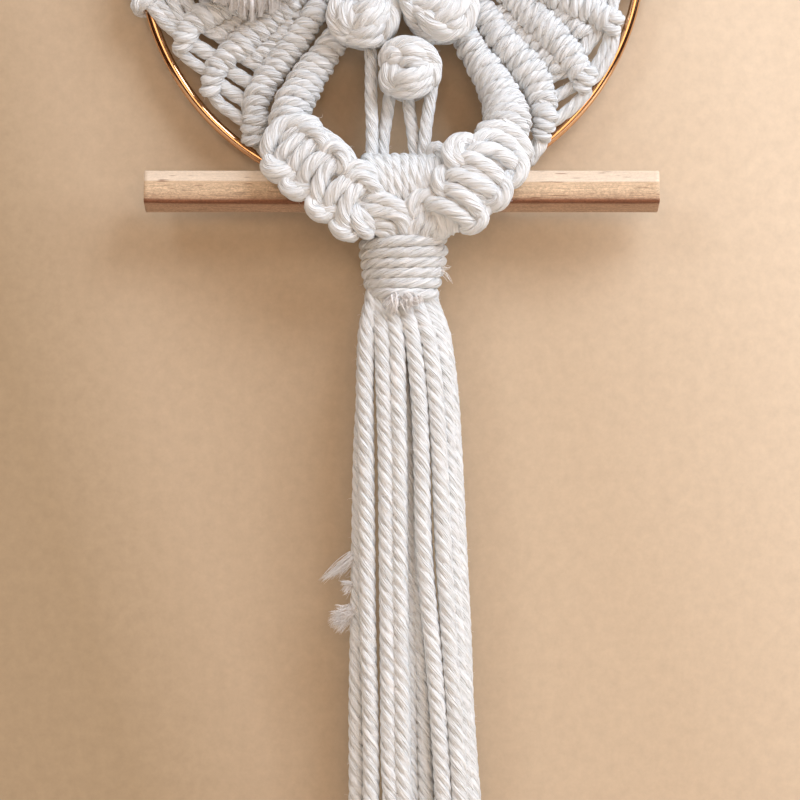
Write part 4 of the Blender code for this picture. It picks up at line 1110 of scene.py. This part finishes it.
def fringePiece(name, given):
    (leftX, leftZ), (rightX, rightZ) = given["ends"]
    count = given["count"]
    share = rng.uniform(0, 1, count)
    x = leftX + (rightX - leftX) * share
    z = leftZ + (rightZ - leftZ) * share
    depth = given["depth"] + rng.normal(0, lock["depthVaries"], count)
    clump = np.floor(share * given["clumps"]).astype(int)
    lengths = rng.normal(0, lock["clumpVaries"], given["clumps"])
    foot = np.interp(share, np.linspace(0, 1, len(given["feet"])), given["feet"]) + lengths[clump]
    foot = foot + np.abs(rng.normal(0, lock["footVaries"], count)) - lock["footDrop"]
    roots = np.column_stack([x, depth, z - ring["drop"]])
    spread = (share - 0.5) * lock["fanOut"] + rng.normal(0, lock["stray"], count)
    spread += lock["drawTogether"] * (rightX - leftX) * ((clump + 0.5) / given["clumps"] - share)
    tipDepth = depth - lock["tipForward"] + rng.normal(0, lock["depthVaries"], count)
    tips = np.column_stack([x + spread, tipDepth, foot - ring["drop"]])
    bow = rng.normal(0, lock["bowVaries"], (count, 3)) + (0, -lock["bowForward"], 0)
    grids = [hairBundle(roots, tips, bow, rng.uniform(*lock["radius"], count), lock["rings"])]
    ends = fromRing([(leftX, given["depth"], leftZ), (rightX, given["depth"], rightZ)])
    line, outward = coilAround(throughPoints(ends, step=strip["step"]), **strip["coil"])
    grids.append(cordAlong(line, outward, strip["radius"]))
    gridPiece(name, grids, looseMaterial, (given["node"],))


for name, given in fringes.items():
    fringePiece(name, given)

# Frayed ends: where the fibres start (u, v, depth and spread in millimetres), where they reach, how many
# there are, and how stout they are beside the usual ones
frayed = {
    "bindingTufts": ("knotted_panel", [
        {"root": (395, 295, -18.4, 0.9), "count": 70, "thick": 1.7,
         "tips": [(383, 303), (385, 312), (392, 317), (399, 311)]},
        {"root": (407, 296, -18.4, 1.5), "count": 130, "thick": 1.3,
         "tips": [(400, 307), (407, 312), (413, 308), (419, 303)]},
        {"root": (416, 296, -18.4, 0.8), "count": 50, "thick": 1.3,
         "tips": [(414, 305), (420, 308), (422, 302)]},
        {"root": (370, 305, -12.0, 0.8), "tips": [(362, 313), (361, 318), (366, 320)], "count": 50},
        {"root": (439, 267, -12.0, 0.25), "tips": [(451, 268), (453, 269)], "count": 8},
        {"root": (439, 270, -12.0, 0.25), "tips": [(451, 280), (453, 284)], "count": 8},
    ]),
    "tasselTufts": ("tassel", [
        {"root": (353, 556, -11.5, 1.2), "count": 200,
         "tips": [(320, 578), (322, 582), (330, 577), (341, 580)]},
        {"root": (352, 612, -11.5, 1.6), "count": 260,
         "tips": [(336, 605), (329, 615), (328, 621), (330, 628), (337, 633), (344, 633)]},
        {"root": (351, 584, -12.0, 0.8), "tips": [(341, 581), (342, 592), (346, 600)], "count": 60},
    ]),
}
fray = {"rootShare": 0.6, "tipForward": 0.8, "reach": (0.55, 1.05), "stray": 0.35, "bow": 0.5,
        "radius": (0.07, 0.16)}


def frayedPiece(name, node, tufts):
    grids = []
    for tuft in tufts:
        count = tuft["count"]
        u, v, depth, spread = tuft["root"]
        roots = fromPicture([(u, v, depth)]) + rng.normal(0, spread * fray["rootShare"], (count, 3))
        at = rng.uniform(0, len(tuft["tips"]) - 1, count)
        ends = np.array([(a, b, depth - fray["tipForward"]) for a, b in tuft["tips"]], float)
        places = fromPicture(rowsAt(at, np.arange(len(ends)), ends))
        tips = roots + (places - roots) * rng.uniform(*fray["reach"], (count, 1))
        tips = tips + rng.normal(0, fray["stray"], (count, 3))
        thick = rng.uniform(*fray["radius"], count) * tuft.get("thick", 1.0)
        grids.append(hairBundle(roots, tips, rng.normal(0, fray["bow"], (count, 3)), thick))
    gridPiece(name, grids, looseMaterial, (node,))


for name, (node, tufts) in frayed.items():
    frayedPiece(name, node, tufts)

fuzz = {"count": 3700, "reach": (0.6, 2.2), "radius": (0.03, 0.055), "slant": 0.55, "bow": 0.18, "rings": 4,
        "tone": (0.6, 1.0)}


def cottonFuzz():
    # Fine fibres that stand off the cords: each starts on a cord's own surface and leaves it at a slant
    weights = np.array([grid["points"].shape[1] for grid in allCords], float)
    picks = rng.choice(len(allCords), fuzz["count"], p=weights / weights.sum())
    rings = [rng.integers(1, allCords[k]["points"].shape[1] - 1) for k in picks]
    sides = [rng.integers(0, allCords[k]["points"].shape[2]) for k in picks]
    roots = np.array([allCords[k]["points"][0, i, j] for k, i, j in zip(picks, rings, sides)])
    centres = np.array([allCords[k]["line"][i, :3] for k, i in zip(picks, rings)])
    leave = unit(unit(roots - centres) + rng.normal(0, fuzz["slant"], roots.shape))
    reach = rng.uniform(*fuzz["reach"], (len(roots), 1))
    bow = rng.normal(0, fuzz["bow"], roots.shape) * reach
    thick = rng.uniform(*fuzz["radius"], len(roots))
    grid = hairBundle(roots, roots + leave * reach, bow, thick, fuzz["rings"], fuzz["tone"])
    gridPiece("cottonFuzz", [grid], looseMaterial, ("knotted_panel",))


cottonFuzz()
